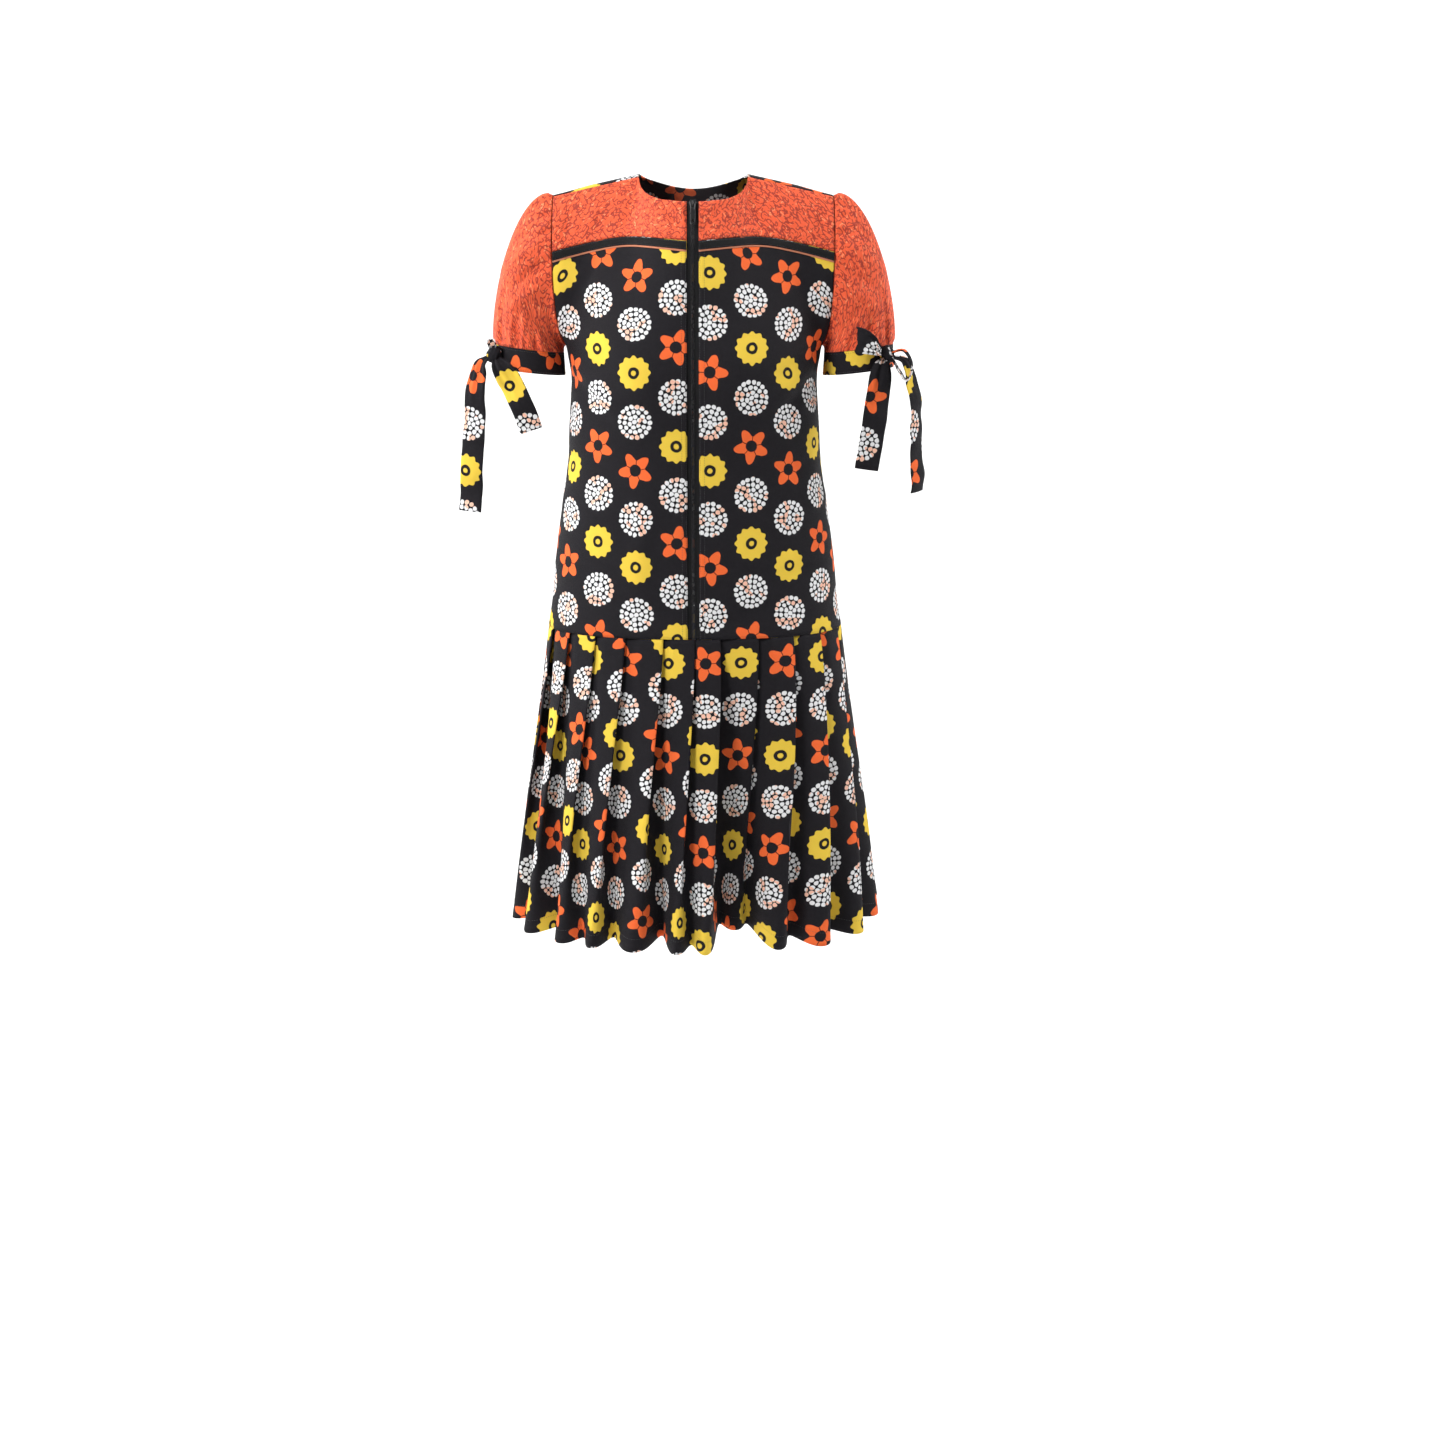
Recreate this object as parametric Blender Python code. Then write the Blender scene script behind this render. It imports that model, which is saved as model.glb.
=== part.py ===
"""A short-sleeved dress with a dropped, knife-pleated skirt, as it is worn, with nobody in it.

Metres, +Z up. The wearer faces -Y. The origin lies midway between the two neck points, on top of the
shoulders, where the dress is held. Each piece of cloth is a closed wall round a grid of points.
Left and right are the viewer's: left is -X.
"""

import math

import bpy
import numpy as np

# Cloth
WALL = 0.0012  # thickness of a cloth wall
TRIM_WALL = 0.0014  # thickness of the folded black trim
TIE_WALL = 0.0016  # thickness of the sleeve ties, which are sewn double
SEAM = 0.0004  # gap between two pieces that are sewn together
CLEAR = 0.0003  # gap between two pieces that lie on each other
SHARP_ANGLE = math.radians(40)

# Bodice
SEAM_Z = -0.577  # height of the seam between the bodice and the skirt
UNDERARM_Z = -0.208  # height of the bottom of the armholes
ZIP_OPENING = 0.0076  # half width of the slot that shows the zip
SECTION_POWER = 2.0 / 2.3  # 1 would make each section an ellipse; less squares it
NECK_SHARE = 0.36  # share of a panel's columns that ends on the neckline
QUARTER, PANEL_RISE = 0.25, 0.20  # rough width of a panel, and its height above the underarm
BUST_X, BUST_Z, BUST_SPREAD, BUST_RISE = 0.083, -0.232, 0.046, 0.011

# Skirt
PLEATS = 24
FOLD_DEPTH = 0.027  # how far a pressed pleat folds back under itself
LAYER = 0.0021  # distance between the middles of two pressed layers
HEM_RISE = 0.20  # how much the hem rises for each millimetre that a trough falls in
SPREAD_CURVE, SWELL_CURVE = 1.45, 0.95  # how late the pleats open along the ring, and in and out of it
RISE_CURVE = 2.0  # how late the cloth of a pleat that hangs higher starts to rise

# Sections of the bodice from the seam up. Columns: height, half width, depth of front, depth of back.
BODICE_SECTIONS = (
    (-0.577, 0.1970, 0.125, 0.130),
    (-0.547, 0.1920, 0.123, 0.128),
    (-0.486, 0.1860, 0.121, 0.119),
    (-0.425, 0.1770, 0.118, 0.105),
    (-0.365, 0.1680, 0.117, 0.096),
    (-0.306, 0.1640, 0.120, 0.099),
    (-0.250, 0.1610, 0.121, 0.107),
    (-0.208, 0.1645, 0.115, 0.111),
)

# Sections of the skirt from the hem up, at the middle of its folds. Columns as above.
SKIRT_SECTIONS = (
    (-0.985, 0.2460, 0.170, 0.183),
    (-0.830, 0.2290, 0.157, 0.166),
    (-0.720, 0.2140, 0.145, 0.152),
    (-0.640, 0.2040, 0.134, 0.140),
    (-0.577, 0.1970, 0.125, 0.130),
)

# The pleats, counted from centre back by the left side, the front (12 starts at centre front) and the
# right side. Columns, in millimetres: shift of its start at the seam, shift of its start at the hem,
# how far the trough at its start falls in at the hem, how far its crest stands out there, and how much
# higher its start hangs at the hem, as at the back.
PLEAT_FOLDS = (
    (0, 0, 16, 12, 7),
    (2, 5, 24, 15, 8),
    (-2, -4, 12, 17, 10),
    (1, 6, 28, 13, 13),
    (0, 2, 15, 16, 16),
    (-2, -5, 24, 14, 10),
    (0, 4, 20, 13, 0),
    (1, 8, 26, 15, 0),
    (0, 16, 30, 13, 0),
    (-1, 14, 15, 12, 0),
    (-3, -2, 26, 14, 0),
    (3, 12, 38, 17, 0),
    (0, -4, 14, 17, 0),
    (-11, -21, 68, -46, 0),
    (-5, -33, 66, 13, 0),
    (0, -34, 27, 17, 0),
    (0, -24, 24, 13, 0),
    (0, -12, 30, 12, 0),
    (1, -3, 14, 15, 10),
    (-2, 4, 26, 13, 16),
    (2, -3, 13, 16, 13),
    (0, 5, 25, 14, 10),
    (-1, -5, 18, 15, 8),
    (1, 2, 27, 13, 7),
)

# One pleat: where its points lie when pressed and when open at the hem. Columns: share of the pitch,
# fold depths, layers in; then share of the opened pitch and share of the way from trough to crest.
PLEAT_STATIONS = (
    (0.0, 0.0, -2.00, 0.04, 0.00),
    (1.0, -1.06, -0.10, 0.22, 0.60),
    (1.0, 0.0, 0.00, 0.40, 0.94),
    (1.0, 0.05, -0.50, 0.52, 1.00),
    (1.0, 0.0, -1.00, 0.64, 0.94),
    (1.0, -1.0, -1.00, 0.79, 0.62),
    (1.0, -1.04, -1.50, 0.88, 0.22),
    (1.0, -1.0, -2.00, 0.95, 0.00),
)
CREST_STATION = 3  # the stations after this one fall to the next pleat's trough
FACE_START, FACE_END = 1, 2  # the face that covers the folded part lies between these stations
TUCK_REACH, TUCK_GROWTH = 0.012, 1.5  # how far past the face, and how much further under it, a fold stays
SKIRT_ROWS = (0.0, 0.06, 0.15, 0.26, 0.38, 0.50, 0.64, 0.81, 1.0)  # shares of the way down

# Places on the right half of the bodice
FRONT_NECK = (0.0695, -0.074, -0.0285)  # half width, depth and drop of the front neckline
BACK_NECK_Y, BACK_NECK_Z = 0.047, -0.009
NECK_POINT = (0.0695, -0.018, 0.0030)  # where the shoulder seam meets the neckline
SHOULDER_TIP = (0.1790, -0.021, -0.0215)
NECK_SQUARE, NECK_LOW, NECK_HIGH = 0.70, 0.85, 1.15  # how square the front neckline is, in plan and height
BACK_NECK_ROLL = 0.006  # how far the back neckline rises between its middle and the neck point
HOLE_START = 0.70  # share of a panel's columns past which it starts to curve into the armhole

# How the columns of a panel curve above the underarm. Each row is (x, y, z): how it leaves the underarm
# and how it reaches the top edge, over the chest or back first and then beside the armhole.
FRONT_LEAVES, FRONT_HOLE_LEAVES = (0.0, 0.014, 0.060), (0.0150, -0.056, 0.000)
FRONT_REACHES, FRONT_HOLE_REACHES = (0.0, 0.030, 0.052), (-0.003, 0.034, 0.066)
BACK_LEAVES, BACK_HOLE_LEAVES = (0.0, 0.010, 0.090), (0.0060, 0.082, 0.004)
BACK_REACHES, BACK_HOLE_REACHES = (0.0, -0.062, -0.030), (0.0, -0.062, -0.026)
BACK_NECK_REACHES = (0.0, -0.030, 0.050)

# The seam under the yoke. Columns: distance from the centre line, height.
YOKE_LINE = ((0.0, -0.0770), (0.045, -0.0727), (0.086, -0.0705), (0.130, -0.0775), (0.190, -0.0920))
TRIM_DROP, TRIM_HEIGHT = 0.0022, 0.0090  # how far the trim lies below the seam, and its height

# The grids of the bodice
FRONT_COLUMNS, BACK_COLUMNS, YOKE_ROWS = (7, 9), (6, 7), 6  # columns below the neckline and the shoulder
FRONT_HEIGHTS = (0.0, 0.27, 0.52, 0.77, 1.0)  # shares of the way from the underarm to the trim
LOWER_HEIGHTS = (-0.577, -0.535, -0.486, -0.425, -0.365, -0.306, -0.257)
BACK_HEIGHTS = (0.0, 0.16, 0.34, 0.52, 0.68, 0.80, 0.89, 0.955, 0.996)
TRIM_ROWS = slice(-3, -1)

# Sleeve
CUFF_CENTRE = (0.2150, -0.006, -0.2120)
CUFF_HALF_X, CUFF_HALF_Y = 0.0445, 0.0500
CUFF_HEIGHT, CUFF_FLARE, CUFF_COLUMNS = 0.029, 0.0015, 32
CUFF_TILT = 0.0055  # how much higher the outer side of the cuff is
SLEEVE_COLUMNS = 48
SLEEVE_GATHERS = 12
GATHER_DEPTH = 0.0016
HEAD_GAP = 0.0011  # distance from the armhole's edge to the sleeve's
HEAD_LIFT = 0.15  # how steeply the top of the sleeve leaves the armhole
HEAD_REACH, UNDER_REACH = 0.043, 0.006  # how far the sleeve runs that way, over the shoulder and under it
UNDER_RISE, PUFF_LIFT, PUFF_OUT = 0.004, 0.092, 0.015  # its rise off the cuff inside and outside, its lean
UNDER_LIFT, REACH_CURVE, PUFF_CURVE = 0.3, 0.8, 1.1  # lift left under the arm, and how fast each fades
HEAD_GATHERS, CUFF_GATHERS = (0.07, 0.10, 0.50), (0.55, 0.95, 0.97)  # shares where gathers start, turn and end
OUTER_GATHERS = 3.0  # how sharply the gathers stop under the arm
SLEEVE_MIDDLE = (0.18, 0.0, -0.16)
SLEEVE_SHARES = (0.0, 0.07, 0.18, 0.34, 0.52, 0.70, 0.85, 0.95, 1.0)

# Ties
TIE_BOW = 0.05  # how far the middle of a tie stands off its edges, as a share of its width
KNOT_GROOVE, KNOT_WINDS, KNOT_RINGS = 0.05, 6, (9, 16)  # depth and number of its turns, and its grid

# Zip
TAPE_WALL, TAPE_INNER, TAPE_OUTER = 0.0010, 0.0010, 0.0128
CHAIN_HALF, CHAIN_WALL = 0.0029, 0.0014
SLIDER_HALF, SLIDER_LENGTH, PLATE = 0.0043, 0.0115, 0.0011
SLIDER_GAP, SLIDER_ABOVE = 0.0004, 0.0006  # play round the zip, and rise above the zip's end
BRIDGE_HALF, BRIDGE_LENGTH, BRIDGE_RISE, BRIDGE_BAR = 0.0010, 0.0068, 0.0030, 0.0009
BRIDGE_FOOT, BRIDGE_CORNER, BRIDGE_SUNK = 0.0090, 0.0008, 0.0004
TAB_HALF, TAB_LENGTH, TAB_THICK, TAB_CORNER = 0.0034, 0.0290, 0.0011, 0.0020
EYE_HALF, EYE_LENGTH, EYE_RIM, EYE_SHOULDER = 0.0018, 0.0044, 0.0011, 0.0040
TAB_LEAN = math.radians(3.5)  # how far the hanging tab leans in, past the end of the slider


# Curves and sections


def smooth(table, column, at):
    """Cubic Hermite curve through one column of a table whose first column rises."""
    rows = np.array(table, float)
    xs, ys = rows[:, 0], rows[:, column]
    slopes = np.gradient(ys, xs)
    at = np.clip(np.asarray(at, float), xs[0], xs[-1])
    i = np.clip(np.searchsorted(xs, at, side="right") - 1, 0, len(xs) - 2)
    step = xs[i + 1] - xs[i]
    t = (at - xs[i]) / step
    start = ys[i] * (1 + 2 * t) + slopes[i] * step * t
    end = ys[i + 1] * (3 - 2 * t) - slopes[i + 1] * step * (1 - t)
    return start * (1 - t) ** 2 + end * t**2


def section(sections, z, angle):
    """Points of the section at height z. The angle runs from centre front (0) by +X to the back (pi)."""
    half, front, back = (smooth(sections, column, z) for column in (1, 2, 3))
    across, along = np.sin(angle), np.cos(angle)
    x = half * np.sign(across) * np.abs(across) ** SECTION_POWER
    deep = np.where(along > 0, -front, back)
    return np.stack([x, deep * np.abs(along) ** SECTION_POWER, np.full_like(x, z)], axis=-1)


def spaced(points, shares):
    """Points at the given shares of a line's length."""
    steps = np.linalg.norm(np.diff(points, axis=0), axis=1)
    along = np.concatenate([[0.0], np.cumsum(steps)])
    wanted = np.asarray(shares, float) * along[-1]
    return np.stack([np.interp(wanted, along, points[:, k]) for k in range(3)], axis=-1)


def bust(points):
    """The bodice stands out softly over the two cups."""
    x, z = points[..., 0], points[..., 2]
    away = (np.abs(x) - BUST_X) ** 2 + (z - BUST_Z) ** 2
    out = points.copy()
    out[..., 1] -= BUST_RISE * np.exp(-away / (2 * BUST_SPREAD**2))
    return out


def bezier(p0, p1, p2, p3, t):
    """Cubic Bezier curves, one for each column of control points, at each share in t."""
    t = np.asarray(t, float)
    t = t[..., None] if t.ndim == 2 else t[:, None, None]
    u = 1 - t
    return p0 * u**3 + 3 * p1 * u**2 * t + 3 * p2 * u * t**2 + p3 * t**3


def direction(vectors):
    vectors = np.asarray(vectors, float)
    return vectors / np.linalg.norm(vectors, axis=-1, keepdims=True)


def ease(x):
    x = np.clip(x, 0.0, 1.0)
    return x * x * (3 - 2 * x)


def mix(a, b, share):
    return np.asarray(a) + (np.asarray(b) - np.asarray(a)) * share


# Bodice: the lower part follows the sections, and above the underarm each column is one Bezier curve


def front_quarter(z, shares):
    """Points from the zip slot to the side seam, at height z."""
    line = section(BODICE_SECTIONS, z, np.linspace(0, math.pi / 2, 181))
    start = np.interp(ZIP_OPENING, line[:, 0], np.arange(len(line)))
    keep = line[math.ceil(start) :]
    first = np.array([[ZIP_OPENING, np.interp(ZIP_OPENING, line[:, 0], line[:, 1]), z]])
    return spaced(np.concatenate([first, keep]), shares)


def back_quarter(z, shares):
    """Points from centre back to the side seam, at height z."""
    return spaced(section(BODICE_SECTIONS, z, np.linspace(math.pi, math.pi / 2, 181)), shares)


def shoulder_line(share):
    """The shoulder seam, from the neck point to the tip."""
    return mix(NECK_POINT, SHOULDER_TIP, np.asarray(share)[:, None])


def top_edge(shares, neckline):
    """The upper edge of a panel: a neckline up to NECK_SHARE, and then the shoulder seam."""
    at_neck = np.clip(shares / NECK_SHARE, 0, 1)
    on_shoulder = shoulder_line(np.clip((shares - NECK_SHARE) / (1 - NECK_SHARE), 0, 1))
    return np.where((shares <= NECK_SHARE)[:, None], neckline(at_neck), on_shoulder)


def front_neckline(share):
    """From the zip to the neck point: a curve that is nearly level, then climbs steeply."""
    half, depth, drop = FRONT_NECK
    start = math.acos((ZIP_OPENING / half) ** (1 / NECK_SQUARE))
    angle = start * (1 - share)
    fall = np.sin(angle) / math.sin(start)
    y = mix(NECK_POINT[1], depth, fall**NECK_HIGH)
    z = mix(NECK_POINT[2], drop, fall**NECK_LOW)
    return np.stack([half * np.cos(angle) ** NECK_SQUARE, y, z], axis=-1)


def back_neckline(share):
    """From centre back round to the neck point."""
    angle = share * math.pi / 2
    y = mix(NECK_POINT[1], BACK_NECK_Y, np.cos(angle))
    z = mix(NECK_POINT[2], BACK_NECK_Z, np.cos(angle))
    z += BACK_NECK_ROLL * np.sin(2 * angle) * np.sin(angle)
    return np.stack([NECK_POINT[0] * np.sin(angle), y, z], axis=-1)


def near_hole(shares):
    """From 0 over the chest or back to 1 at the armhole, for each column."""
    return ease((shares - HOLE_START) / (1 - HOLE_START))[:, None]


def front_top(shares, heights):
    """Front panel above the underarm: heights run from 0 at the underarm to 1 at the top edge."""
    low = front_quarter(UNDERARM_Z, shares)
    high = top_edge(shares, front_neckline)
    hole = near_hole(shares)
    leave = mix(FRONT_LEAVES, FRONT_HOLE_LEAVES, hole)
    reach = mix(FRONT_REACHES, FRONT_HOLE_REACHES, hole)
    return bezier(low, low + leave, high - reach, high, heights)


def back_top(shares, heights):
    """Back panel above the underarm. It rolls over the shoulder to the seam in front of it."""
    low = back_quarter(UNDERARM_Z, shares)
    high = top_edge(shares, back_neckline)
    hole = near_hole(shares)
    leave = mix(BACK_LEAVES, BACK_HOLE_LEAVES, hole)
    past_neck = ease(shares / NECK_SHARE)[:, None]
    reach = mix(BACK_NECK_REACHES, mix(BACK_REACHES, BACK_HOLE_REACHES, hole), past_neck)
    return bezier(low, low + leave, high - reach, high, heights)


def yoke_height(shares):
    """The share of the height at which each column of the front crosses the yoke seam."""
    fine = np.linspace(0, 1, 201)
    grid = front_top(shares, fine)
    above = grid[:, :, 2] - smooth(YOKE_LINE, 1, grid[:, :, 0])
    return np.array([np.interp(0.0, above[:, k], fine) for k in range(len(shares))])


def mirrored(grid, side):
    """The same grid on the left (-1) or right (1) half of the dress."""
    return grid * np.array([side, 1.0, 1.0])


# Skirt


def skirt_ring(z, sections):
    """One whole section of the skirt from centre back to centre back by the left side and the front."""
    line = section(sections, z, np.linspace(-math.pi, math.pi, 1441))
    steps = np.linalg.norm(np.diff(line, axis=0), axis=1)
    along = np.concatenate([[0.0], np.cumsum(steps)])
    slopes = np.gradient(line[:, :2], along, axis=0)
    out = direction(np.stack([-slopes[:, 1], slopes[:, 0]], axis=-1))
    out *= np.sign((out * line[:, :2]).sum(axis=1, keepdims=True))
    return line, along, out


def pleat_column(column, ends):
    """A column of the table of folds in metres, with its first row again at the end if ends is 1."""
    return np.array([row[column] for row in PLEAT_FOLDS + PLEAT_FOLDS[:ends]])[:, None] / 1000


def tucked(where, depth, layers, swollen):
    """The depths, with the part of each pleat that is folded back kept under the face above it."""
    start, end = where[:, FACE_START, None], where[:, FACE_END, None]
    low, high = depth[:, FACE_START, None], depth[:, FACE_END, None]
    face = low + (high - low) * np.clip((where - start) / (end - start), 0, 1)
    cover = np.clip(1 - (where - end) / TUCK_REACH, 0, 1) * (1 + TUCK_GROWTH * swollen)
    behind = np.arange(where.shape[1]) > CREST_STATION
    return np.where(behind, np.minimum(depth, face + layers * cover), depth)


def skirt_row(share):
    """One whole row of points, from centre back by the left side, at this share of the way down."""
    z = mix(SEAM_Z - SEAM, SKIRT_SECTIONS[0][0], share)
    line, along, out = skirt_ring(z, SKIRT_SECTIONS)
    pitch = along[-1] / PLEATS
    opened, swollen = share**SPREAD_CURVE, share**SWELL_CURVE
    of_pitch, folds, layers, open_share, to_crest = np.array(PLEAT_STATIONS).T
    even = np.arange(PLEATS + 1)[:, None] * pitch
    folded, fanned = even + pleat_column(0, 1), even + pleat_column(1, 1)
    trough, crest = pleat_column(2, 1), pleat_column(3, 0)
    pressed = mix(folded[:-1], folded[1:], of_pitch) + folds * FOLD_DEPTH
    hanging = mix(fanned[:-1], fanned[1:], open_share)
    nearest = np.where(np.arange(len(folds)) <= CREST_STATION, trough[:-1], trough[1:])
    where = mix(pressed, hanging, opened)
    depth = mix(layers * LAYER, mix(-nearest, crest, to_crest), swollen)
    depth = tucked(where, depth, layers * LAYER, swollen).ravel()
    at = where.ravel() % along[-1]
    rise = np.interp(at, fanned[:, 0], pleat_column(4, 1)[:, 0])
    spot = np.stack([np.interp(at, along, line[:, k]) for k in range(3)], axis=-1)
    spot[:, 0] += np.interp(at, along, out[:, 0]) * depth
    spot[:, 1] += np.interp(at, along, out[:, 1]) * depth
    spot[:, 2] += rise * share**RISE_CURVE - HEM_RISE * share * depth
    return spot


# Sleeve


def armhole(count):
    """The armhole edge as count points: from the shoulder tip by the front to the underarm and back."""
    fine = np.linspace(0, 1, 101)
    edge = np.array([1.0])
    front = front_top(edge, fine)[::-1, 0]
    back = back_top(edge, fine)[:, 0]
    half = count // 2
    shares = np.linspace(0, 1, half + 1)
    return np.concatenate([spaced(bust(front), shares)[:-1], spaced(back, shares)[:-1]])


def cuff_ring(angle, drop, grow):
    """Points of the cuff, drop below its top, with its half widths grown by grow."""
    x, y, z = CUFF_CENTRE
    lean = CUFF_TILT * np.cos(angle) - drop
    return np.stack(
        [
            x + (CUFF_HALF_X + grow) * np.cos(angle),
            y - (CUFF_HALF_Y + grow) * np.sin(angle),
            z + lean,
        ],
        axis=-1,
    )


def sleeve_grid():
    """Each column is a Bezier curve from the armhole to the cuff, puffed out most over the shoulder."""
    angle = np.linspace(0, 2 * math.pi, SLEEVE_COLUMNS, endpoint=False)
    hole = armhole(SLEEVE_COLUMNS)
    top = ((1 + np.cos(angle)) / 2)[:, None]
    away = np.stack([np.zeros_like(angle), -np.sin(angle), np.cos(angle)], axis=-1)
    leave_way = direction(np.array([1.0, 0, 0]) + HEAD_LIFT * away * mix(UNDER_LIFT, 1.0, top))
    round_cuff = np.stack([np.cos(angle), -np.sin(angle), np.zeros_like(angle)], axis=-1)
    reach_way = direction(np.array([0, 0, 1.0]) + PUFF_OUT * round_cuff)
    start = hole + leave_way * HEAD_GAP
    end = cuff_ring(angle, 0.0, 0.0) + np.array([0, 0, SEAM])
    leave = leave_way * mix(UNDER_REACH, HEAD_REACH, top**REACH_CURVE)
    reach = reach_way * mix(UNDER_RISE, PUFF_LIFT, top**PUFF_CURVE)
    grid = bezier(start, start + leave, end + reach, end, np.array(SLEEVE_SHARES))
    share = np.array(SLEEVE_SHARES)[:, None]
    risen, turned, gone = CUFF_GATHERS
    near_cuff = ease((share - risen) / (turned - risen)) * (1 - ease((share - gone) / (1 - gone)))
    risen, turned, gone = HEAD_GATHERS
    near_head = ease(share / risen) * (1 - ease((share - turned) / (gone - turned))) * top[:, 0]
    ripple = np.cos(SLEEVE_GATHERS * angle) * (near_cuff * ease(top[:, 0] * OUTER_GATHERS) + near_head)
    return grid + outward(grid, True, SLEEVE_MIDDLE) * (GATHER_DEPTH * ripple)[..., None]


# Walls


def outward(grid, closed, inside):
    """Unit normals of a grid of points, on the side away from the point inside."""
    if closed:
        across = np.roll(grid, -1, axis=1) - np.roll(grid, 1, axis=1)
    else:
        across = np.gradient(grid, axis=1)
    along = np.gradient(grid, axis=0)
    normal = direction(np.cross(across, along))
    away = (normal * (grid - np.array(inside))).sum()
    return normal if away > 0 else -normal


def shaded(name, points, faces, finish):
    """An object from points and faces, with its faces turned out and its round sides shaded smooth."""
    mesh = bpy.data.meshes.new(name)
    mesh.from_pydata([tuple(p) for p in points], [], faces)
    mesh.shade_smooth()
    mesh.set_sharp_from_angle(angle=SHARP_ANGLE)
    mesh.materials.append(finish)
    made = bpy.data.objects.new(name, mesh)
    bpy.context.scene.collection.objects.link(made)
    return made


def turned_out(points, faces):
    """The faces, in the order that makes them point outwards."""
    volume = 0.0
    for face in faces:
        a = points[face[0]]
        for b, c in zip(face[1:-1], face[2:]):
            volume += np.dot(a, np.cross(points[b], points[c]))
    return faces if volume > 0 else [face[::-1] for face in faces]


def wall(name, grid, finish, thick=WALL, closed=False, inside=(0.0, 0.0, -0.4), lift=0.0, normal=None):
    """A closed wall round a grid of rows and columns, half its thickness to each side of the points.

    Both faces of the wall are split along the same diagonals, the shorter ones, so they stay parallel.
    """
    rows, columns = grid.shape[:2]
    if normal is None:
        normal = outward(grid, closed, inside)
    outer = grid + normal * (lift + thick / 2)
    inner = grid + normal * (lift - thick / 2)
    points = np.concatenate([outer.reshape(-1, 3), inner.reshape(-1, 3)])
    back = rows * columns
    number = np.arange(back).reshape(rows, columns)
    if closed:
        number = np.concatenate([number, number[:, :1]], axis=1)
    a, b, c, d = (k.ravel() for k in (number[:-1, :-1], number[:-1, 1:], number[1:, 1:], number[1:, :-1]))
    flat = grid.reshape(-1, 3)
    first = np.linalg.norm(flat[a] - flat[c], axis=1) <= np.linalg.norm(flat[b] - flat[d], axis=1)
    halves = np.concatenate(
        [
            np.where(first[:, None], np.stack([a, b, c], axis=1), np.stack([a, b, d], axis=1)),
            np.where(first[:, None], np.stack([a, c, d], axis=1), np.stack([b, c, d], axis=1)),
        ]
    )
    edges = [(number[0, 1:], number[0, :-1]), (number[-1, :-1], number[-1, 1:])]
    if not closed:
        edges += [(number[:-1, 0], number[1:, 0]), (number[1:, -1], number[:-1, -1])]
    rims = np.concatenate([np.stack([p, q, q + back, p + back], axis=1) for p, q in edges])
    faces = halves.tolist() + (halves[:, ::-1] + back).tolist() + rims.tolist()
    return shaded(name, points, turned_out(points, faces), finish)


def material(name, colour, roughness, metallic=0.0):
    made = bpy.data.materials.new(name)
    made.use_nodes = True
    shader = made.node_tree.nodes["Principled BSDF"]
    shader.inputs["Base Color"].default_value = (*colour, 1.0)
    shader.inputs["Roughness"].default_value = roughness
    shader.inputs["Metallic"].default_value = metallic
    return made


# The pieces


def column_shares(counts):
    """Where a panel's columns stand, as shares of its width, with one at the neck point."""
    neck, shoulder = counts
    below_neck = np.linspace(0, NECK_SHARE, neck)
    return np.concatenate([below_neck, np.linspace(NECK_SHARE, 1 - SEAM / QUARTER, shoulder)[1:]])


def front_rows():
    """The rows of a front panel and of its yoke on the right half. The trim lies on TRIM_ROWS."""
    shares = column_shares(FRONT_COLUMNS)
    below = np.stack([front_quarter(z, shares) for z in LOWER_HEIGHTS])
    seam_share = yoke_height(shares)
    of_height = 1 / PANEL_RISE
    top = seam_share - SEAM * of_height
    trim_top = seam_share - TRIM_DROP * of_height
    trim_foot = trim_top - TRIM_HEIGHT * of_height
    rise = np.array([share * trim_foot for share in FRONT_HEIGHTS] + [trim_top, top])
    panel = bust(np.concatenate([below, front_top(shares, rise)]))
    rise = mix(seam_share, 1.0, np.linspace(0, 1, YOKE_ROWS)[:, None])
    return panel, bust(front_top(shares, rise))


def make_bodice(black, orange, trim_black):
    """Front panels, yokes and trim on each side of the zip, and the whole back."""
    panel, yoke = front_rows()
    normal = outward(panel, False, (0.0, 0.0, -0.4))
    lift = (WALL + TRIM_WALL) / 2 + CLEAR
    for side, word in ((-1, "left"), (1, "right")):
        wall(f"bodice_front_{word}", mirrored(panel, side), black)
        wall(f"yoke_{word}", mirrored(yoke, side), orange)
        band = mirrored(panel[TRIM_ROWS], side)
        facing = mirrored(normal[TRIM_ROWS], side)
        wall(f"yoke_trim_{word}", band, trim_black, TRIM_WALL, lift=lift, normal=facing)
    shares = column_shares(BACK_COLUMNS)
    below = np.stack([back_quarter(z, shares) for z in LOWER_HEIGHTS])
    half = np.concatenate([below, back_top(shares, np.array(BACK_HEIGHTS))])
    whole = np.concatenate([mirrored(half[:, :0:-1], -1), half], axis=1)
    wall("bodice_back", whole, black)


def make_skirt(black):
    """Two pleated panels that meet at the side seams. Pleats 6 to 17 are in front."""
    ring = np.stack([skirt_row(share) for share in SKIRT_ROWS])
    normal = outward(ring, True, (0.0, 0.0, -0.7))
    stations, quarter = len(PLEAT_STATIONS), PLEATS // 4
    for word, first in (("front", quarter), ("back", 3 * quarter)):
        columns = first * stations + np.arange(PLEATS // 2 * stations + 1)
        columns %= ring.shape[1]
        panel = ring[:, columns]
        panel[:, 0] += direction(panel[:, 1] - panel[:, 0]) * SEAM / 2
        panel[:, -1] += direction(panel[:, -2] - panel[:, -1]) * SEAM / 2
        wall(f"skirt_{word}", panel, black, normal=normal[:, columns])


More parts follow.
